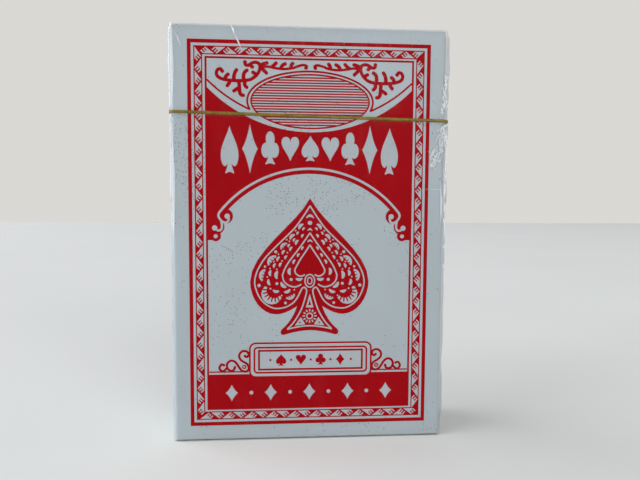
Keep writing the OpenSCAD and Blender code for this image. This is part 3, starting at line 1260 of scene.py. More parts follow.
    def draw_frame(self, sheet: InkSheet) -> None:
        """Draw the outer rule, the toothed border and the inner rule.

        Args:
            sheet: The print.
        """
        out_w, out_h = self.half_w - self.border_out, self.half_h - self.border_out
        for half_w, half_h, line in (
            (self.half_w, self.half_h, self.rule),
            (out_w, out_h, self.border_w),
            (self.panel_w + self.inner_rule, self.panel_h + self.inner_rule, self.inner_rule),
        ):
            hole = Draw.rectangle(half_w - line, half_h - line)
            sheet.add(Ink.GROUND, Draw.rectangle(half_w, half_h), hole)
        mid_w, mid_h = out_w - self.border_w / 2, out_h - self.border_w / 2
        for quarters, count, lead in self.FORK_ROWS:
            turn = quarters * math.pi / 2
            reach, side = (mid_h, mid_w) if quarters % 2 else (mid_w, mid_h)
            pitch = 2 * reach / round(2 * reach / self.fork_pitch)
            row = self._forks(reach, side, [pitch * (i + lead) for i in range(count)], pitch)
            sheet.add_all(Ink.RESERVE, (Draw.placed(fork, (0.0, 0.0), 1.0, 1.0, turn) for fork in row))

    def _forks(self, reach: float, side: float, places: Sequence[float], pitch: float) -> list[Path]:
        """Draw a row of forks, which lie on the border's inner and outer edge by turns.

        Args:
            reach: Half the row's length.
            side: The row's distance from the middle of the frame.
            places: Where the forks stand, from the row's left end.
            pitch: Their distance from one another.

        Returns:
            The outlines, for the row at the top of the frame.
        """
        tall = self.border_w - 2 * self.border_line
        made = []
        for i, place in enumerate(places):
            flip = -1 if i % 2 else 1
            low = side - flip * tall / 2
            end = reach + tall / 2
            fork = [(min(place - reach + u * pitch, end), low + flip * v * tall) for u, v in self.FORK]
            made.append(fork)
        return made

    def draw_oval(self, sheet: InkSheet) -> None:
        """Draw the ruled oval, the line that runs from it to the sides, and the vine over it.

        Args:
            sheet: The print.
        """
        (x, y), w, h = self.oval, self.oval_w, self.oval_h
        rim = [math.radians(-self.cusp + (180 + 2 * self.cusp) * i / 60) for i in range(61)]
        outer = [(x + w * math.cos(a), y + h * math.sin(a)) for a in rim]
        sheet.add(Ink.GROUND, Draw.stroke(outer, self.oval_line))
        sheet.add(Ink.GROUND, *(Draw.ellipse(w - u, h - v, self.oval, 72) for u, v in self.OVAL_RING))
        field_w, field_h = w - self.field_gap[0], h - self.field_gap[1]
        lines = int((field_h - self.field_line / 2) / self.field_pitch)
        for i in range(-lines, lines + 1):
            rise = i * self.field_pitch
            half = field_w * math.sqrt(max(0.0, 1 - (rise / field_h) ** 2))
            sheet.add(Ink.GROUND, Draw.rectangle(half, self.field_line / 2, (x, y + rise)))
        sweep = Draw.bow(outer[-1], self.sweep_bend, (-self.panel_w, self.sweep_top))
        sheet.both_sides(Ink.GROUND, Draw.stroke(sweep, self.sweep_line))
        self._vine(sheet)

    def _vine(self, sheet: InkSheet) -> None:
        """Draw a curling vine on each side, from the corner to the middle of the top.

        Args:
            sheet: The print.
        """
        for line, width in ((self.VINE_STEM, self.stem_line), (self.VINE_RUNNER, self.runner_line)):
            for piece in Draw.ribbon(Draw.through(line), width):
                sheet.both_sides(Ink.GROUND, piece)
        for root, bend, tip in self.VINE_TWIGS:
            sheet.both_sides(Ink.GROUND, Draw.stroke(Draw.bow(root, bend, tip, 12), *self.twig_line))
            sheet.both_sides(Ink.GROUND, Draw.dot(self.twig_tip, tip))
        for spot in self.VINE_BUDS:
            sheet.both_sides(Ink.GROUND, Draw.dot(self.bud, spot))

    def draw_arch(self, sheet: InkSheet) -> None:
        """Draw the red panel between the brow and the arch, with the arch's line and curled ends.

        Args:
            sheet: The print.
        """
        w, foot = self.panel_w + self.lap, self.arch_foot
        spread = math.degrees(math.asin(w / self.brow_r))
        brow = Draw.arc(self.brow, self.brow_r, 270 - spread, 270 + spread)
        arch = Draw.arc(self.arch, self.arch_r, *self.arch_ends, 56)
        right_leg = [(self.leg_foot, foot), self.leg_top]
        left_leg = [(-x, y) for x, y in reversed(right_leg)]
        sheet.add(Ink.GROUND, [*brow, (w, foot), *right_leg, *arch, *left_leg, (-w, foot)])
        for spot, radius in self.ARCH_LOBES:
            sheet.both_sides(Ink.GROUND, Draw.dot(radius, spot, 32))
        line = Draw.arc(self.arch, self.arch_r + self.arch_line_gap, *self.arch_line_ends, 56)
        sheet.add(Ink.RESERVE, Draw.stroke(line, self.arch_line))
        for hook in ((line[-1], *self.ARCH_BEND), *self.ARCH_HOOKS):
            sheet.both_sides(Ink.RESERVE, Draw.stroke(Draw.bow(*hook), self.arch_line, self.hook_tip))
        for spot, radius in self.ARCH_EYES:
            sheet.both_sides(Ink.RESERVE, Draw.dot(radius, spot, 20))
        self._pip_row(sheet)

    def _pip_row(self, sheet: InkSheet) -> None:
        """Draw the row of white pips between the brow and the arch, taller towards its ends.

        Args:
            sheet: The print.
        """
        suits = tuple(Suit)
        for i in range(-4, 5):
            x = i * self.pip_pitch
            top = self.brow[1] - math.sqrt(self.brow_r**2 - x * x)
            low = self.arch[1] + math.sqrt((self.arch_r + self.pip_floor) ** 2 - x * x)
            stretch = min((top - low) * self.pip_fill, self.pip_most) / self.pip_tall
            at = (x, top * self.pip_lift + low * (1.0 - self.pip_lift))
            sheet.add_all(Ink.RESERVE, Draw.pip(suits[abs(i) % len(suits)], at, self.pip_w, stretch))

    def draw_spade(self, sheet: InkSheet) -> None:
        """Draw the large spade with its inset line, nested outlines, beans, dots, fans and stem.

        Args:
            sheet: The print.
        """
        (x, y), size = self.spade, self.spade_w
        for outline in (Draw.SPADE_BODY, Draw.STEM):
            sheet.add(Ink.GROUND, Draw.placed(Draw.mirrored(outline), self.spade, size))
        for line in (self.INSET, self.FOOT, self.NEST, self.HEART):
            for piece in Draw.ribbon(Draw.through([(x + u, y + v) for u, v in line], 4), self.lace_line):
                sheet.both_sides(Ink.RESERVE, piece)
        knob = (x, y + self.knob_rise)
        for (wide, tall), line in self.KNOB_RINGS:
            hole = Draw.ellipse(wide - line, tall - line, knob)
            sheet.add(Ink.RESERVE, Draw.ellipse(wide, tall, knob), hole)
        for u, v, length, back in self.BEANS:
            self._bean(sheet, (x + u, y + v), length, math.radians(back - 90))
        for rise, length, width in self.TOP_BEANS:
            sheet.add(Ink.RESERVE, Draw.bean((x, y + rise), length, width, 0.0, self.top_bean_bend))
        half_w, half_h, rise = self.TOP_DROP
        sheet.add(Ink.RESERVE, Draw.ellipse(half_w, half_h, (x, y + rise), 18))
        for u, v, radius in self.DOTS:
            sheet.both_sides(Ink.RESERVE, Draw.dot(radius, (x + u, y + v), 14))
        self._fan(sheet, (x + self.fan_at[0], y + self.fan_at[1]), self.fan_r)
        self._stem_rose(sheet)

    def _bean(self, sheet: InkSheet, at: Point, length: float, turn: float) -> None:
        """Draw a white bean on each side, with red notches in a long one.

        Args:
            sheet: The print.
            at: The bean's middle.
            length: Its length.
            turn: The direction of its length in radians.
        """
        width = self.bean_share * length + self.bean_least
        sheet.both_sides(Ink.RESERVE, Draw.bean(at, length, width, turn))
        for run in self.NOTCHES if length > self.notched else ():
            low = Draw.BEAN_BEND * length * (0.5 - 4 * run * run) - width / 2
            x = run * length
            ends = [(x, low - self.notch_lap), (x, low + self.notch_share * width)]
            notch = Draw.stroke(ends, *self.notch_line)
            sheet.both_sides(Ink.DETAIL, Draw.placed(notch, at, 1.0, 1.0, turn))

    def _fan(self, sheet: InkSheet, at: Point, radius: float) -> None:
        """Draw each lower lobe's fan: a fat crescent that opens up and inwards, with a comb of red cuts.

        Args:
            sheet: The print.
            at: The crescent's middle.
            radius: Its outer radius.
        """
        opening = math.radians(self.fan_opening)
        sheet.both_sides(Ink.RESERVE, Draw.crescent(at, radius, opening))
        lean = Draw.CRESCENT_LEAN * radius
        x, y = at[0] + lean * math.cos(opening), at[1] + lean * math.sin(opening)
        for i in range(-3, 4):
            a = opening + math.radians(180 + self.comb_step * i)
            ends = [(x + r * radius * math.cos(a), y + r * radius * math.sin(a)) for r in self.comb_span]
            sheet.both_sides(Ink.DETAIL, Draw.stroke(ends, *self.comb_line))

    def _stem_rose(self, sheet: InkSheet) -> None:
        """Draw the stem's white wedges and, between them, a rose with its petals.

        Args:
            sheet: The print.
        """
        x, y = self.spade
        sheet.add(Ink.RESERVE, [(x + u, y + v) for u, v in self.STEM_SPIKE])
        sheet.add(Ink.DETAIL, [(x + u, y + v) for u, v in self.STEM_SLOT])
        sheet.both_sides(Ink.RESERVE, [(x + u, y + v) for u, v in self.STEM_WEDGE])
        (u, v), radius = self.WEDGE_DOT
        sheet.both_sides(Ink.DETAIL, Draw.dot(radius, (x + u, y + v), 12))
        rose = (x, y - self.rose_drop)
        eye_out, eye_in = self.rose_eye
        sheet.add(Ink.DETAIL, Draw.dot(self.rose_r, rose, 36))
        sheet.add(Ink.GLINT, Draw.dot(eye_out, rose, 24), Draw.dot(eye_in, rose, 20))
        for i in range(self.petals):
            a = math.tau * i / self.petals
            ends = [(rose[0] + r * math.cos(a), rose[1] + r * math.sin(a)) for r in self.petal_span]
            sheet.add(Ink.GLINT, Draw.stroke(ends, *self.petal_line))

    def draw_foot(self, sheet: InkSheet) -> None:
        """Draw the red band at the foot, the plate over it, the scrolls beside that and the band's pips.

        Args:
            sheet: The print.
        """
        half_h = (self.panel_h + self.band_top) / 2
        middle = (self.band_top - self.panel_h) / 2
        band = Draw.rectangle(self.panel_w + self.lap, half_h + self.lap / 2, (0.0, middle))
        sheet.add(Ink.GROUND, band)
        self._plate(sheet)
        self._scrolls(sheet)
        shelf = (self.shelf_x, self.band_top + self.shelf_rise)
        sheet.both_sides(Ink.GROUND, Draw.rectangle(*self.shelf_half, shelf))
        for i in range(-4, 5):
            at = (i * self.band_pitch, middle - self.band_drop)
            if i % 2:
                sheet.add(Ink.RESERVE, Draw.dot(self.band_dot, at, 20))
            else:
                sheet.add_all(Ink.RESERVE, Draw.pip(Suit.DIAMOND, at, self.band_pip))

    def _plate(self, sheet: InkSheet) -> None:
        """Draw the plate with its three rings and its row of pips and dots.

        Args:
            sheet: The print.
        """
        x, y = self.plate
        sheet.add(Ink.RESERVE, Draw.plate(*self.PLATE_RINGS[0][:3], self.plate))
        for half_w, half_h, radius, line in self.PLATE_RINGS:
            hole = Draw.plate(half_w - line, half_h - line, max(radius - line, 0.05), self.plate)
            sheet.add(Ink.DETAIL, Draw.plate(half_w, half_h, radius, self.plate), hole)
        for suit, across in zip(Suit, self.PLATE_PIPS, strict=True):
            sheet.add_all(Ink.DETAIL, Draw.pip(suit, (x + across, y), self.plate_pip))
        for across in self.PLATE_DOTS:
            sheet.add(Ink.DETAIL, Draw.dot(self.plate_dot, (x + across, y)))

    def _scrolls(self, sheet: InkSheet) -> None:
        """Draw the scroll, the curl and the ring on each side of the plate.

        Args:
            sheet: The print.
        """
        axis = self.plate[0]
        for line in (self.SCROLL, self.CURL):
            for piece in Draw.ribbon(Draw.through([(axis + x, y) for x, y in line], 5), self.scroll_line):
                sheet.both_sides(Ink.GROUND, piece, axis=axis)
        for x, y in (self.SCROLL[0], self.SCROLL[-1], self.CURL[0]):
            sheet.both_sides(Ink.GROUND, Draw.dot(self.scroll_end, (axis + x, y), 14), axis=axis)
        ring = (axis + self.ring_at[0], self.ring_at[1])
        ring_out, ring_in = self.ring_r
        sheet.both_sides(Ink.GROUND, Draw.dot(ring_out, ring, 20), Draw.dot(ring_in, ring, 14), axis=axis)


@dataclass
class BackPrint:
    """The back's print: a ruled frame round a lattice, as on the back of a card."""

    half_w: float = 26.25
    half_h: float = 42.0
    rule: float = 0.8
    gap: float = 0.9
    corner: float = 2.0
    disc: float = 9.0
    disc_line: float = 0.5
    emblem: float = 4.2
    emblem_rise: float = 0.024
    pip: float = 1.9

    def build(self) -> list[bpy.types.Object]:
        """Draw the back and lay it on the carton.

        Returns:
            The ink pieces.
        """
        low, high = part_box("back_panel")
        middle = Vector((0.0, high.y, (low.z + high.z) / 2))
        sheet = InkSheet("back_print", Face.BACK.plane(middle))
        w, h = self.half_w, self.half_h
        sheet.add(Ink.GROUND, Draw.rectangle(w, h), Draw.rectangle(w - self.rule, h - self.rule))
        inset = self.rule + self.gap
        sheet.add(Ink.RESERVE, Draw.plate(w - inset, h - inset, self.corner, (0.0, 0.0)))
        rim = self.disc + self.disc_line
        disc = Draw.ellipse(self.disc, self.disc)
        sheet.add(Ink.DETAIL, Draw.ellipse(rim, rim), disc)
        sheet.add(Ink.GLINT, disc)
        red = InkFinish("back_red_ink", RED).material()
        white = InkFinish("back_white", RESERVE, mottle=0.05, roughness=0.45, dust_cover=0.05).material()
        lattice = LatticeFinish("back_lattice", RED, RESERVE).material()
        made = sheet.build({Ink.GROUND: red, Ink.RESERVE: lattice, Ink.DETAIL: red, Ink.GLINT: white})
        over = middle + Vector((0.0, self.emblem_rise * MM, 0.0))
        emblem = InkSheet("back_emblem", Face.BACK.plane(over))
        far = self.emblem
        for suit, at in zip(Suit, ((0.0, far), (far, 0.0), (0.0, -far), (-far, 0.0)), strict=True):
            emblem.add_all(Ink.GROUND, Draw.pip(suit, at, self.pip))
        return made + emblem.build({Ink.GROUND: red})


@dataclass
class EdgePrint:
    """The print of the narrow faces: a row of pips, in a thin frame on the lid and the bottom."""

    rule: float = 0.5
    inset: float = 3.2
    pip: float = 2.0
    pip_steps: float = 2.9

    def build(self) -> dict[str, list[bpy.types.Object]]:
        """Draw both sides, the bottom and the lid.

        Returns:
            The ink pieces by the body that they ride on.
        """
        red = InkFinish("edge_red_ink", RED).material()
        made: dict[str, list[bpy.types.Object]] = {"carton": [], "lid": []}
        for face, node, body in (
            (Face.LEFT, "left_side_panel", "carton"),
            (Face.RIGHT, "right_side_panel", "carton"),
            (Face.BOTTOM, "bottom_panel", "carton"),
            (Face.TOP, "lid", "lid"),
        ):
            low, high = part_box(node)
            middle, size, out = (low + high) / 2, (high - low) / 2, Vector(face.value)
            at = middle + Vector(tuple(o * half for o, half in zip(out, size, strict=True)))
            sheet = InkSheet(f"{face.name.lower()}_print", face.plane(at))
            across = size.x if out.z else size.y
            along = size.y if out.z else size.z
            self._draw(sheet, across / MM - self.inset, along / MM - self.inset)
            made[body] += sheet.build({Ink.GROUND: red})
        return made

    def _draw(self, sheet: InkSheet, half_w: float, half_h: float) -> None:
        """Draw the pips, and a frame round them unless they run up a tall side.

        Args:
            sheet: The print.
            half_w: Half the print's width.
            half_h: Half the print's height.
        """
        tall = half_h > half_w
        if not tall:
            inner = Draw.rectangle(half_w - self.rule, half_h - self.rule)
            sheet.add(Ink.GROUND, Draw.rectangle(half_w, half_h), inner)
        step = max(half_w, half_h) / self.pip_steps
        for suit, place in zip(Suit, (1.5, 0.5, -0.5, -1.5), strict=True):
            at = (0.0, place * step) if tall else (-place * step, 0.0)
            sheet.add_all(Ink.GROUND, Draw.pip(suit, at, self.pip))


@dataclass
class Carton:
    """The carton's board and its print."""

    faces: dict[str, Face] = field(
        default_factory=lambda: {
            "front_panel": Face.FRONT,
            "back_panel": Face.BACK,
            "left_side_panel": Face.LEFT,
            "right_side_panel": Face.RIGHT,
            "glue_flap": Face.RIGHT,
            "bottom_panel": Face.BOTTOM,
            "bottom_inner_flap": Face.BOTTOM,
            "bottom_left_dust_flap": Face.BOTTOM,
            "bottom_right_dust_flap": Face.BOTTOM,
            "lid": Face.TOP,
            "tuck_flap": Face.FRONT,
            "left_dust_flap": Face.TOP,
            "right_dust_flap": Face.TOP,
        }
    )

    def dress(self) -> list[bpy.types.Object]:
        """Give every panel its board finish and lay the print on every face.

        Returns:
            The ink pieces.
        """
        boards = {face: BoardFinish(f"board_{face.name.lower()}", face.value).material() for face in Face}
        for node, face in self.faces.items():
            paint(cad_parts[node], boards[face])
        prints = FrontPrint().build() + BackPrint().build()
        for piece in prints:
            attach(piece, "carton")
        for body, pieces in EdgePrint().build().items():
            for piece in pieces:
                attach(piece, body)
            prints += pieces
        return prints


@dataclass
class Deck:
    """The cards."""

    count: int = 54
    stock: Colour = (0.70, 0.70, 0.68)

    def dress(self) -> None:
        """Give every card its stock."""
        low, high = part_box("black_joker")
        kinds = ("joker", "ace", "cards", "jack", "queen", "king")
        nodes = [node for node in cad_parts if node.endswith(kinds)]
        rear = max(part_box(node)[1].y for node in nodes)
        pitch = (rear - high.y) / (self.count - 1)
        material = CardFinish("card_stock", self.stock, low.y, pitch, high.y - low.y).material()
        for node in nodes:
            paint(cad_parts[node], material)


@dataclass
class FilmWrap:
    """The clear film wrap, the tear tape in it and the painted highlights of its crease lines and sheen.

    The painted highlight strokes, for crease lines, glows, ripples, sheens and crumpled spots, are in
    millimetres on the front.
    """

    # Each body's painted crease highlights: start, end and width.
    CREASE_GLINTS = {
        "film_cap": (
            ((-17.05, 90.5), (-16.3, 88.5), 0.42),
            ((-16.4, 88.9), (-14.85, 85.5), 0.3),
            ((-28.8, 89.0), (-27.5, 85.8), 0.2),
        ),
        "carton": (((25.9, 64.4), (27.8, 63.1), 0.15), ((25.6, 56.1), (29.3, 56.0), 0.1)),
    }
    # Each body's soft painted glows along the film's edges: start, end and width.
    GLOWS = {
        "film_cap": (((-29.6, 90.3), (-29.6, 73.0), 0.8),),
        "carton": (((-29.6, 70.5), (-29.6, 42.0), 0.8), ((28.9, 57.5), (29.1, 48.0), 0.5)),
    }
    # Where each painted highlight on the ripples under the top starts.
    TOP_RIPPLE_GLINTS = (
        *((-22.5, 88.6), (-9.6, 90.0), (-4.2, 89.2), (1.8, 90.2), (7.0, 88.8)),
        *((13.2, 90.0), (21.5, 89.4)),
    )
    # Each painted sheen's body, start, bend, end, spread and steps.
    SHEENS = (
        ("film_cap", (29.6, 81.0), (29.3, 75.0), (29.0, 73.6), 0.35, 40),
        ("carton", (29.1, 70.2), (28.7, 65.5), (26.9, 61.2), 0.8, 120),
    )
    RIPPLE_GLINT_LEAN = (0.2, 1.1)
    RIPPLE_GLINT_DROP = (1.2, 2.6)
    SHEEN_STRAY = (-0.3, 0.3)
    SHEEN_LEAN = (0.0, 0.4)
    SHEEN_DROP = (0.5, 1.1)
    SHEEN_WIDTH = (0.15, 0.45)
    # The lowest, highest and likeliest rise of a painted crumple highlight.
    CRUMPLE_GLINT_RISE = (38.0, 84.0, 58.0)
    CRUMPLE_GLINT_DROP = (0.5, 2.6)
    CRUMPLE_GLINT_LEAN = (-0.1, 0.1)
    CRUMPLE_GLINT_WIDTH = (0.10, 0.28)
    DEPTH_CUTS = (-0.3, -0.15, 0.0, 0.15, 0.3)
    # The walls
    radius: float = 1.15 * MM
    corner_cuts: int = 6
    cuts_across: int = 44
    cuts_up: float = 1.6 * MM
    thickness: float = 0.05 * MM
    # Their slack, dents and flutes
    slack: float = 0.85 * MM
    right_reach: float = 3.5 * MM
    left_reach: float = 2.5 * MM
    right_pull: float = 0.8
    left_pull: float = 0.25
    swell: Span = (0.55, 0.45)
    swell_waves: Point = (90.0, 210.0)
    swell_slice: float = 3.0
    ease: Span = (14.0, 40.0)
    dent: float = 0.02 * MM
    dent_waves: Point = (260.0, 60.0)
    dent_slice: float = 5.0
    flute: float = 0.03 * MM
    flute_waves: float = 1400.0
    flute_drift: Span = (2.0, 90.0)
    flute_from: float = 0.88
    flute_gain: float = 8.0
    # The tape and its tab
    tab_gap: Vector = field(default_factory=lambda: Vector((0.10, 0.2, 0.14)) * MM)
    tape_gap: float = 0.08 * MM
    tape_tilt: float = -0.020
    tape_fade: float = 12.0 * MM
    # The painted highlight strokes
    ripple_glint_width: float = 0.16
    sheen_edge: float = 29.7
    sheen_rise: float = 0.03
    sheen_solid: float = 0.4
    crumple_glints: int = 64
    crumple_glint_gap: Span = (69.5, 73.5)
    crumple_glint_inset: float = 0.08
    crumple_glint_stray: float = 0.14
    crease_glint_rise: float = 0.05
    glint_tip: float = 0.02
    glint_bow: float = 0.6
    glint_half: int = 4
    seed: int = 7
    tape_z: float = field(init=False)

    def __post_init__(self) -> None:
        """Find the height of the tape's middle."""
        low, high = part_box("tear_tape")
        self.tape_z = (low.z + high.z) / 2

    def wrinkle(self, at: Vector) -> Vector:
        """Find how far the slack film stands off at a point.

        Args:
            at: A point on the flat film.

        Returns:
            The shift of that point.
        """
        low, high = CAD_BOX
        tall = (at.z - low.z) / (high.z - low.z)
        right = max(0.0, 1.0 - (high.x - at.x) / self.right_reach)
        left = max(0.0, 1.0 - (at.x - low.x) / self.left_reach)
        mean, swing = self.swell
        lump = Vector((self.swell_slice, at.y * self.swell_waves[0], at.z * self.swell_waves[1]))
        swell = mean + swing * noise.noise(lump)
        foot, top = self.ease
        ends = min(1.0, max(0.0, min(tall * foot, (1.0 - tall) * top)))
        loose = max(0.0, 2.0 * tall - 1.0)
        pull = (self.right_pull + loose) * right**1.5 - (self.left_pull + loose / 2) * left**2
        hollow = Vector((at.x * self.dent_waves[0], self.dent_slice, at.z * self.dent_waves[1]))
        depth = self.dent * noise.noise(hollow)
        drift, waves = self.flute_drift
        wave = math.sin(at.x * self.flute_waves + drift * noise.noise(at * waves))
        depth += self.flute * max(0.0, tall - self.flute_from) * self.flute_gain * wave
        out = 1.0 if at.y > 0 else -1.0
        near = max(0.0, 1.0 - abs(at.z - self.tape_z) / self.tape_fade)
        rise = near * self.tape_tilt * at.x
        return Vector((self.slack * swell * ends * pull, out * max(depth, -self.flute) * ends, rise))

    def wall(
        self, name: str, low_z: float, high_z: float, material: bpy.types.Material
    ) -> bpy.types.Object:
        """Build a stretch of the film's wall right round the pack.

        Args:
            name: The piece's name.
            low_z: The height of its lower edge.
            high_z: The height of its upper edge.
            material: Its finish.

        Returns:
            The new object.
        """
        size = CAD_BOX[1] - CAD_BOX[0]
        tall = high_z - low_z
        shape = bmesh.new()
        bmesh.ops.create_cube(shape, size=1.0)
        bmesh.ops.scale(shape, vec=(size.x, size.y, tall), verts=shape.verts)
        bmesh.ops.translate(shape, vec=(0, 0, (low_z + high_z) / 2), verts=shape.verts)
        ends = [f for f in shape.faces if abs(f.normal.z) > 0.5]
        bmesh.ops.delete(shape, geom=ends, context="FACES_ONLY")
        upright = [e for e in shape.edges if abs(e.verts[0].co.z - e.verts[1].co.z) > tall / 2]
        bmesh.ops.bevel(
            shape,
            geom=upright,
            offset=self.radius,
            segments=self.corner_cuts,
            profile=0.5,
            affect="EDGES",
            material=-1,
        )
        for spot, way in self._cuts(low_z, high_z):
            everything = shape.verts[:] + shape.edges[:] + shape.faces[:]
            bmesh.ops.bisect_plane(shape, geom=everything, plane_co=spot, plane_no=way, dist=1e-7)
        self._open_tab(shape)
        for vert in shape.verts:
            vert.co += self.wrinkle(vert.co)
        bmesh.ops.recalc_face_normals(shape, faces=shape.faces)
        for face in shape.faces:
            face.smooth = True
        bmesh.ops.solidify(shape, geom=shape.faces[:], thickness=self.thickness)
        return link_mesh(name, shape, material)

    def _cuts(self, low_z: float, high_z: float) -> list[Cut]:
        """Find the planes that divide a stretch of wall, so that it can ripple and let the tab out.

        Args:
            low_z: The height of the wall's lower edge.
            high_z: The height of its upper edge.

        Returns:
            A point on each plane, with its direction.
        """
        low, high = CAD_BOX
        size, tall = high - low, high_z - low_z
        columns, rows = self.cuts_across, max(1, round(tall / self.cuts_up))
        upright, across, level = (1, 0, 0), (0, 1, 0), (0, 0, 1)
        cuts = [(Vector((low.x + size.x * i / columns, 0, 0)), upright) for i in range(1, columns)]
        cuts += [(Vector((0, 0, low_z + tall * i / rows)), level) for i in range(1, rows)]
        cuts += [(Vector((0, size.y * share, 0)), across) for share in self.DEPTH_CUTS]
        return cuts + [(corner, way) for way in (upright, level) for corner in self._tab_box()]

    def _tab_box(self) -> tuple[Vector, Vector]:
        """Return the corners of the cut round the pull tab."""
        low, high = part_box("pull_tab")
        return low - self.tab_gap, high + self.tab_gap

    def _open_tab(self, shape: bmesh.types.BMesh) -> None:
        """Take out the faces that the pull tab is cut from.

        Args:
            shape: The wall, cut along the tab's edges.
        """
        low, high = self._tab_box()
        inside = []
        for face in shape.faces:
            at = face.calc_center_median()
            if at.y > 0 and low.x < at.x < high.x and low.z < at.z < high.z:
                inside.append(face)
        bmesh.ops.delete(shape, geom=inside, context="FACES")

    def _soft_strokes(self, dice: random.Random) -> Strokes:
        """Place the soft painted highlights: a glow down the left edge, ripple glints at the top, sheen at
        the right.

        Args:
            dice: The source of chance.

        Returns:
            Each body's strokes.
        """
        made = {body: list(strokes) for body, strokes in self.GLOWS.items()}
        for x, z in self.TOP_RIPPLE_GLINTS:
            tip = (x + dice.uniform(*self.RIPPLE_GLINT_LEAN), z - dice.uniform(*self.RIPPLE_GLINT_DROP))
            made["film_cap"].append(((x, z), tip, self.ripple_glint_width))
        for body, start, bend, end, wide, count in self.SHEENS:
            for i, (x, z) in enumerate(Draw.bow(start, bend, end, count)):
                u = x + dice.gauss(0.0, wide * (0.5 + math.sin(math.pi * i / count)) / 1.5)
                v = z + dice.uniform(*self.SHEEN_STRAY)
                tip = (u - dice.uniform(*self.SHEEN_LEAN), v - dice.uniform(*self.SHEEN_DROP))
                made[body].append(((min(u, self.sheen_edge), v), tip, dice.uniform(*self.SHEEN_WIDTH)))
        return made

    def _sharp_strokes(self, dice: random.Random) -> Strokes:
        """Place the sharp painted highlights: crease glints at the top left, and crumple glints down the
        right edge.

        Args:
            dice: The source of chance.

        Returns:
            Each body's strokes.
        """
        made = {body: list(strokes) for body, strokes in self.CREASE_GLINTS.items()}
        edge = CAD_BOX[1].x / MM - self.crumple_glint_inset
        gap_low, gap_high = self.crumple_glint_gap
        for _ in range(self.crumple_glints):
            z = dice.triangular(*self.CRUMPLE_GLINT_RISE)
            run = dice.uniform(*self.CRUMPLE_GLINT_DROP)
            if z <= gap_low or z - run >= gap_high:
                x = edge - abs(dice.gauss(0.0, self.crumple_glint_stray))
                body = "film_cap" if z > gap_high else "carton"
                tip = (x + dice.uniform(*self.CRUMPLE_GLINT_LEAN), z - run)
                made[body].append(((x, z), tip, dice.uniform(*self.CRUMPLE_GLINT_WIDTH)))
        return made

    def painted_glints(self) -> list[tuple[str, bpy.types.Object]]:
        """Build the painted highlights: white strokes for the crease glints and sheen on the front of the
        film.

        Returns:
            Each piece with the body that it rides on.
        """
        dice = random.Random(self.seed)
        made = []
        for lines, rise, finish in (
            (self._soft_strokes(dice), self.sheen_rise, PaintedGlintFinish("film_painted_sheen", self.sheen_solid)),
            (self._sharp_strokes(dice), self.crease_glint_rise, PaintedGlintFinish("film_painted_crease_glint")),
        ):
            material = finish.material()
            place = Face.FRONT.plane(Vector((0, CAD_BOX[0].y - rise * MM, 0)))
            for body, strokes in lines.items():
                sheet = InkSheet(f"{finish.name}_{body}", place)
                for (x, z), (tip_x, tip_z), width in strokes:
                    bend = ((x + tip_x) / 2 + width * self.glint_bow, (z + tip_z) / 2)
                    line = Draw.bow((x, z), bend, (tip_x, tip_z), 2 * self.glint_half)
                    swell, fade = line[: self.glint_half + 1], line[self.glint_half :]
                    sheet.add(Ink.GROUND, Draw.stroke(swell, self.glint_tip, width))
                    sheet.add(Ink.GROUND, Draw.stroke(fade, width, self.glint_tip))
                made.append((body, sheet.build({Ink.GROUND: material})[0]))
        return made

    def build(self) -> list[bpy.types.Object]:
        """Build the walls, the tape and the painted crease highlights, and finish the folded ends.

        Returns:
            The new pieces.
        """
        film = FilmFinish("clear_film").material()
        ends = FilmFinish("clear_film_ends", bump=0.2, haze=0.05).material()
        tape = TapeFinish("gold_tape").material()
        foot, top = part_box("film_sleeve")[0].z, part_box("film_cap")[1].z
        tape_low, tape_high = (corner.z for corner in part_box("tear_tape"))
        sleeve = self.wall("film_sleeve_skin", foot, tape_low, film)
        cap = self.wall("film_cap_skin", tape_high, top, film)
        band = self.wall("tear_tape_band", tape_low + self.tape_gap, tape_high - self.tape_gap, tape)
        for piece, node, body, slot in (
            (sleeve, "film_sleeve", "carton", "clear_film"),
            (cap, "film_cap", "film_cap", "clear_film"),
            (band, "tear_tape", "film_cap", "gold_tape"),
        ):
            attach(piece, body)
            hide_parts(node)
        for node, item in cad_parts.items():
            if node.startswith("film_") and node not in ("film_sleeve", "film_cap"):
                paint(item, ends)
        paint(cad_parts["pull_tab"], tape)
        glints = self.painted_glints()
        for body, piece in glints:
            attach(piece, body)
        return [sleeve, cap, band, *(piece for _, piece in glints)]


def paint(item: bpy.types.Object, material: bpy.types.Material) -> None:
    """Give an object one material."""
    item.data.materials.clear()
    item.data.materials.append(material)


@dataclass(frozen=True)
class Lamp:
    """A soft area lamp; lengths are in metres and power is in watts."""

    name: str
    at: tuple[float, float, float]
    wide: float
    tall: float
    power: float
    colour: Colour

    def hang(self, target: Vector) -> None:
        """Hang the lamp so that it points at a target.

        Args:
            target: Where it points.
        """
        data = bpy.data.lights.new(self.name, "AREA")
        data.shape = "RECTANGLE"
        data.size, data.size_y = self.wide, self.tall
        data.energy = self.power
        data.color = self.colour
        lamp = bpy.data.objects.new(self.name, data)
        lamp.location = self.at
        lamp.rotation_euler = (target - Vector(self.at)).to_track_quat("-Z", "Y").to_euler()
        bpy.context.scene.collection.objects.link(lamp)


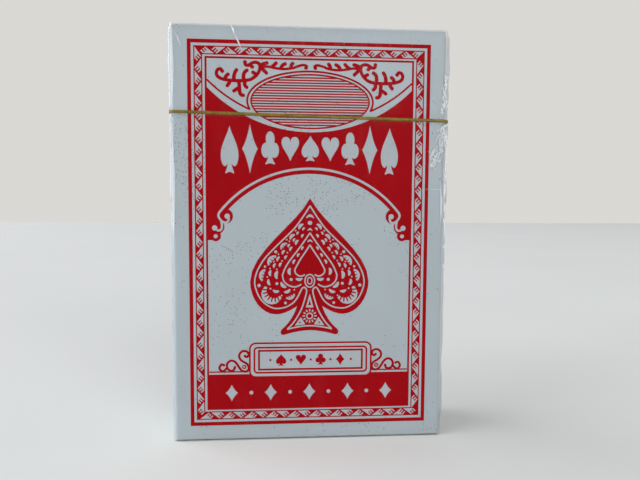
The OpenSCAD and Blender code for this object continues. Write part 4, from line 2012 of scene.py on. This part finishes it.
@dataclass
class Studio:
    """The pale floor, the soft lights and the camera."""

    LAMPS = (
        Lamp("window", at=(-3.72, 0.0, 1.95), wide=5.4, tall=4.8, power=202.0, colour=(0.90, 0.95, 1.0)),
        Lamp("front_fill", at=(1.5, -4.5, 2.49), wide=3.6, tall=3.6, power=86.0, colour=(1.0, 0.98, 0.95)),
    )
    lens: float = 31.82
    sensor: float = 36.0
    clip: Span = (0.001, 50.0)
    camera_at: Vector = field(default_factory=lambda: Vector((-6.96, -132.7, 53.57)) * MM)
    camera_aim: Vector = field(default_factory=lambda: Vector((0.0737, 0.99477, -0.07071)))
    camera_roll: float = math.radians(0.32)
    lamp_aim: Vector = field(default_factory=lambda: Vector((0.0, 0.0, 45.0)) * MM)
    floor_size: float = 2.4
    floor_cells: int = 8
    floor_drop: float = 0.01 * MM
    sky: Colour = (0.80, 0.83, 0.88)
    sky_strength: float = 0.58
    backdrop: Colour = (0.70, 0.69, 0.66)

    def build(self) -> None:
        """Set the stage."""
        self._floor()
        self._world()
        for lamp in self.LAMPS:
            lamp.hang(self.lamp_aim)
        self._camera()
        bpy.context.scene.view_settings.view_transform = "Standard"

    def _floor(self) -> None:
        """Lay the floor."""
        shape = bmesh.new()
        cells, half = self.floor_cells, self.floor_size / 2
        bmesh.ops.create_grid(shape, x_segments=cells, y_segments=cells, size=half)
        bmesh.ops.translate(shape, verts=shape.verts, vec=(0, 0, -self.floor_drop))
        link_mesh("floor", shape, StageFinish("pale_floor").material())

    def _world(self) -> None:
        """Light the scene from all round, and show a pale background."""
        world = bpy.data.worlds.new("studio")
        bpy.context.scene.world = world
        world.use_nodes = True
        world.node_tree.nodes.clear()
        wires = Wiring(world.node_tree)
        sky = wires.node("ShaderNodeBackground", {"Color": (*self.sky, 1.0), "Strength": self.sky_strength})
        wall = wires.node("ShaderNodeBackground", {"Color": (*self.backdrop, 1.0), "Strength": 1.0})
        path = wires.node("ShaderNodeLightPath")
        mirrored = wires.math("MAXIMUM", path.outputs["Is Glossy Ray"], path.outputs["Is Transmission Ray"])
        seen = wires.math("MAXIMUM", path.outputs["Is Camera Ray"], mirrored)
        both = wires.node("ShaderNodeMixShader", {0: seen, 1: sky.outputs[0], 2: wall.outputs[0]})
        wires.node("ShaderNodeOutputWorld", {"Surface": both.outputs[0]})

    def _camera(self) -> None:
        """Place the camera."""
        data = bpy.data.cameras.new("camera")
        data.sensor_width = self.sensor
        data.lens = self.lens
        data.clip_start, data.clip_end = self.clip
        camera = bpy.data.objects.new("camera", data)
        turn = self.camera_aim.to_track_quat("-Z", "Y").to_matrix().to_4x4()
        roll = Matrix.Rotation(self.camera_roll, 4, "Z")
        camera.matrix_world = Matrix.Translation(self.camera_at) @ turn @ roll
        bpy.context.scene.collection.objects.link(camera)
        bpy.context.scene.camera = camera


def main() -> None:
    """Dress the pack and set the stage."""
    logging.basicConfig(level=logging.INFO, format="%(name)s: %(message)s")
    for piece in Carton().dress():
        LOG.info("print %s: %d faces", piece.name, len(piece.data.polygons))
    Deck().dress()
    for piece in FilmWrap().build():
        LOG.info("film %s: %d faces", piece.name, len(piece.data.polygons))
    Studio().build()


if __name__ == "__main__":
    main()
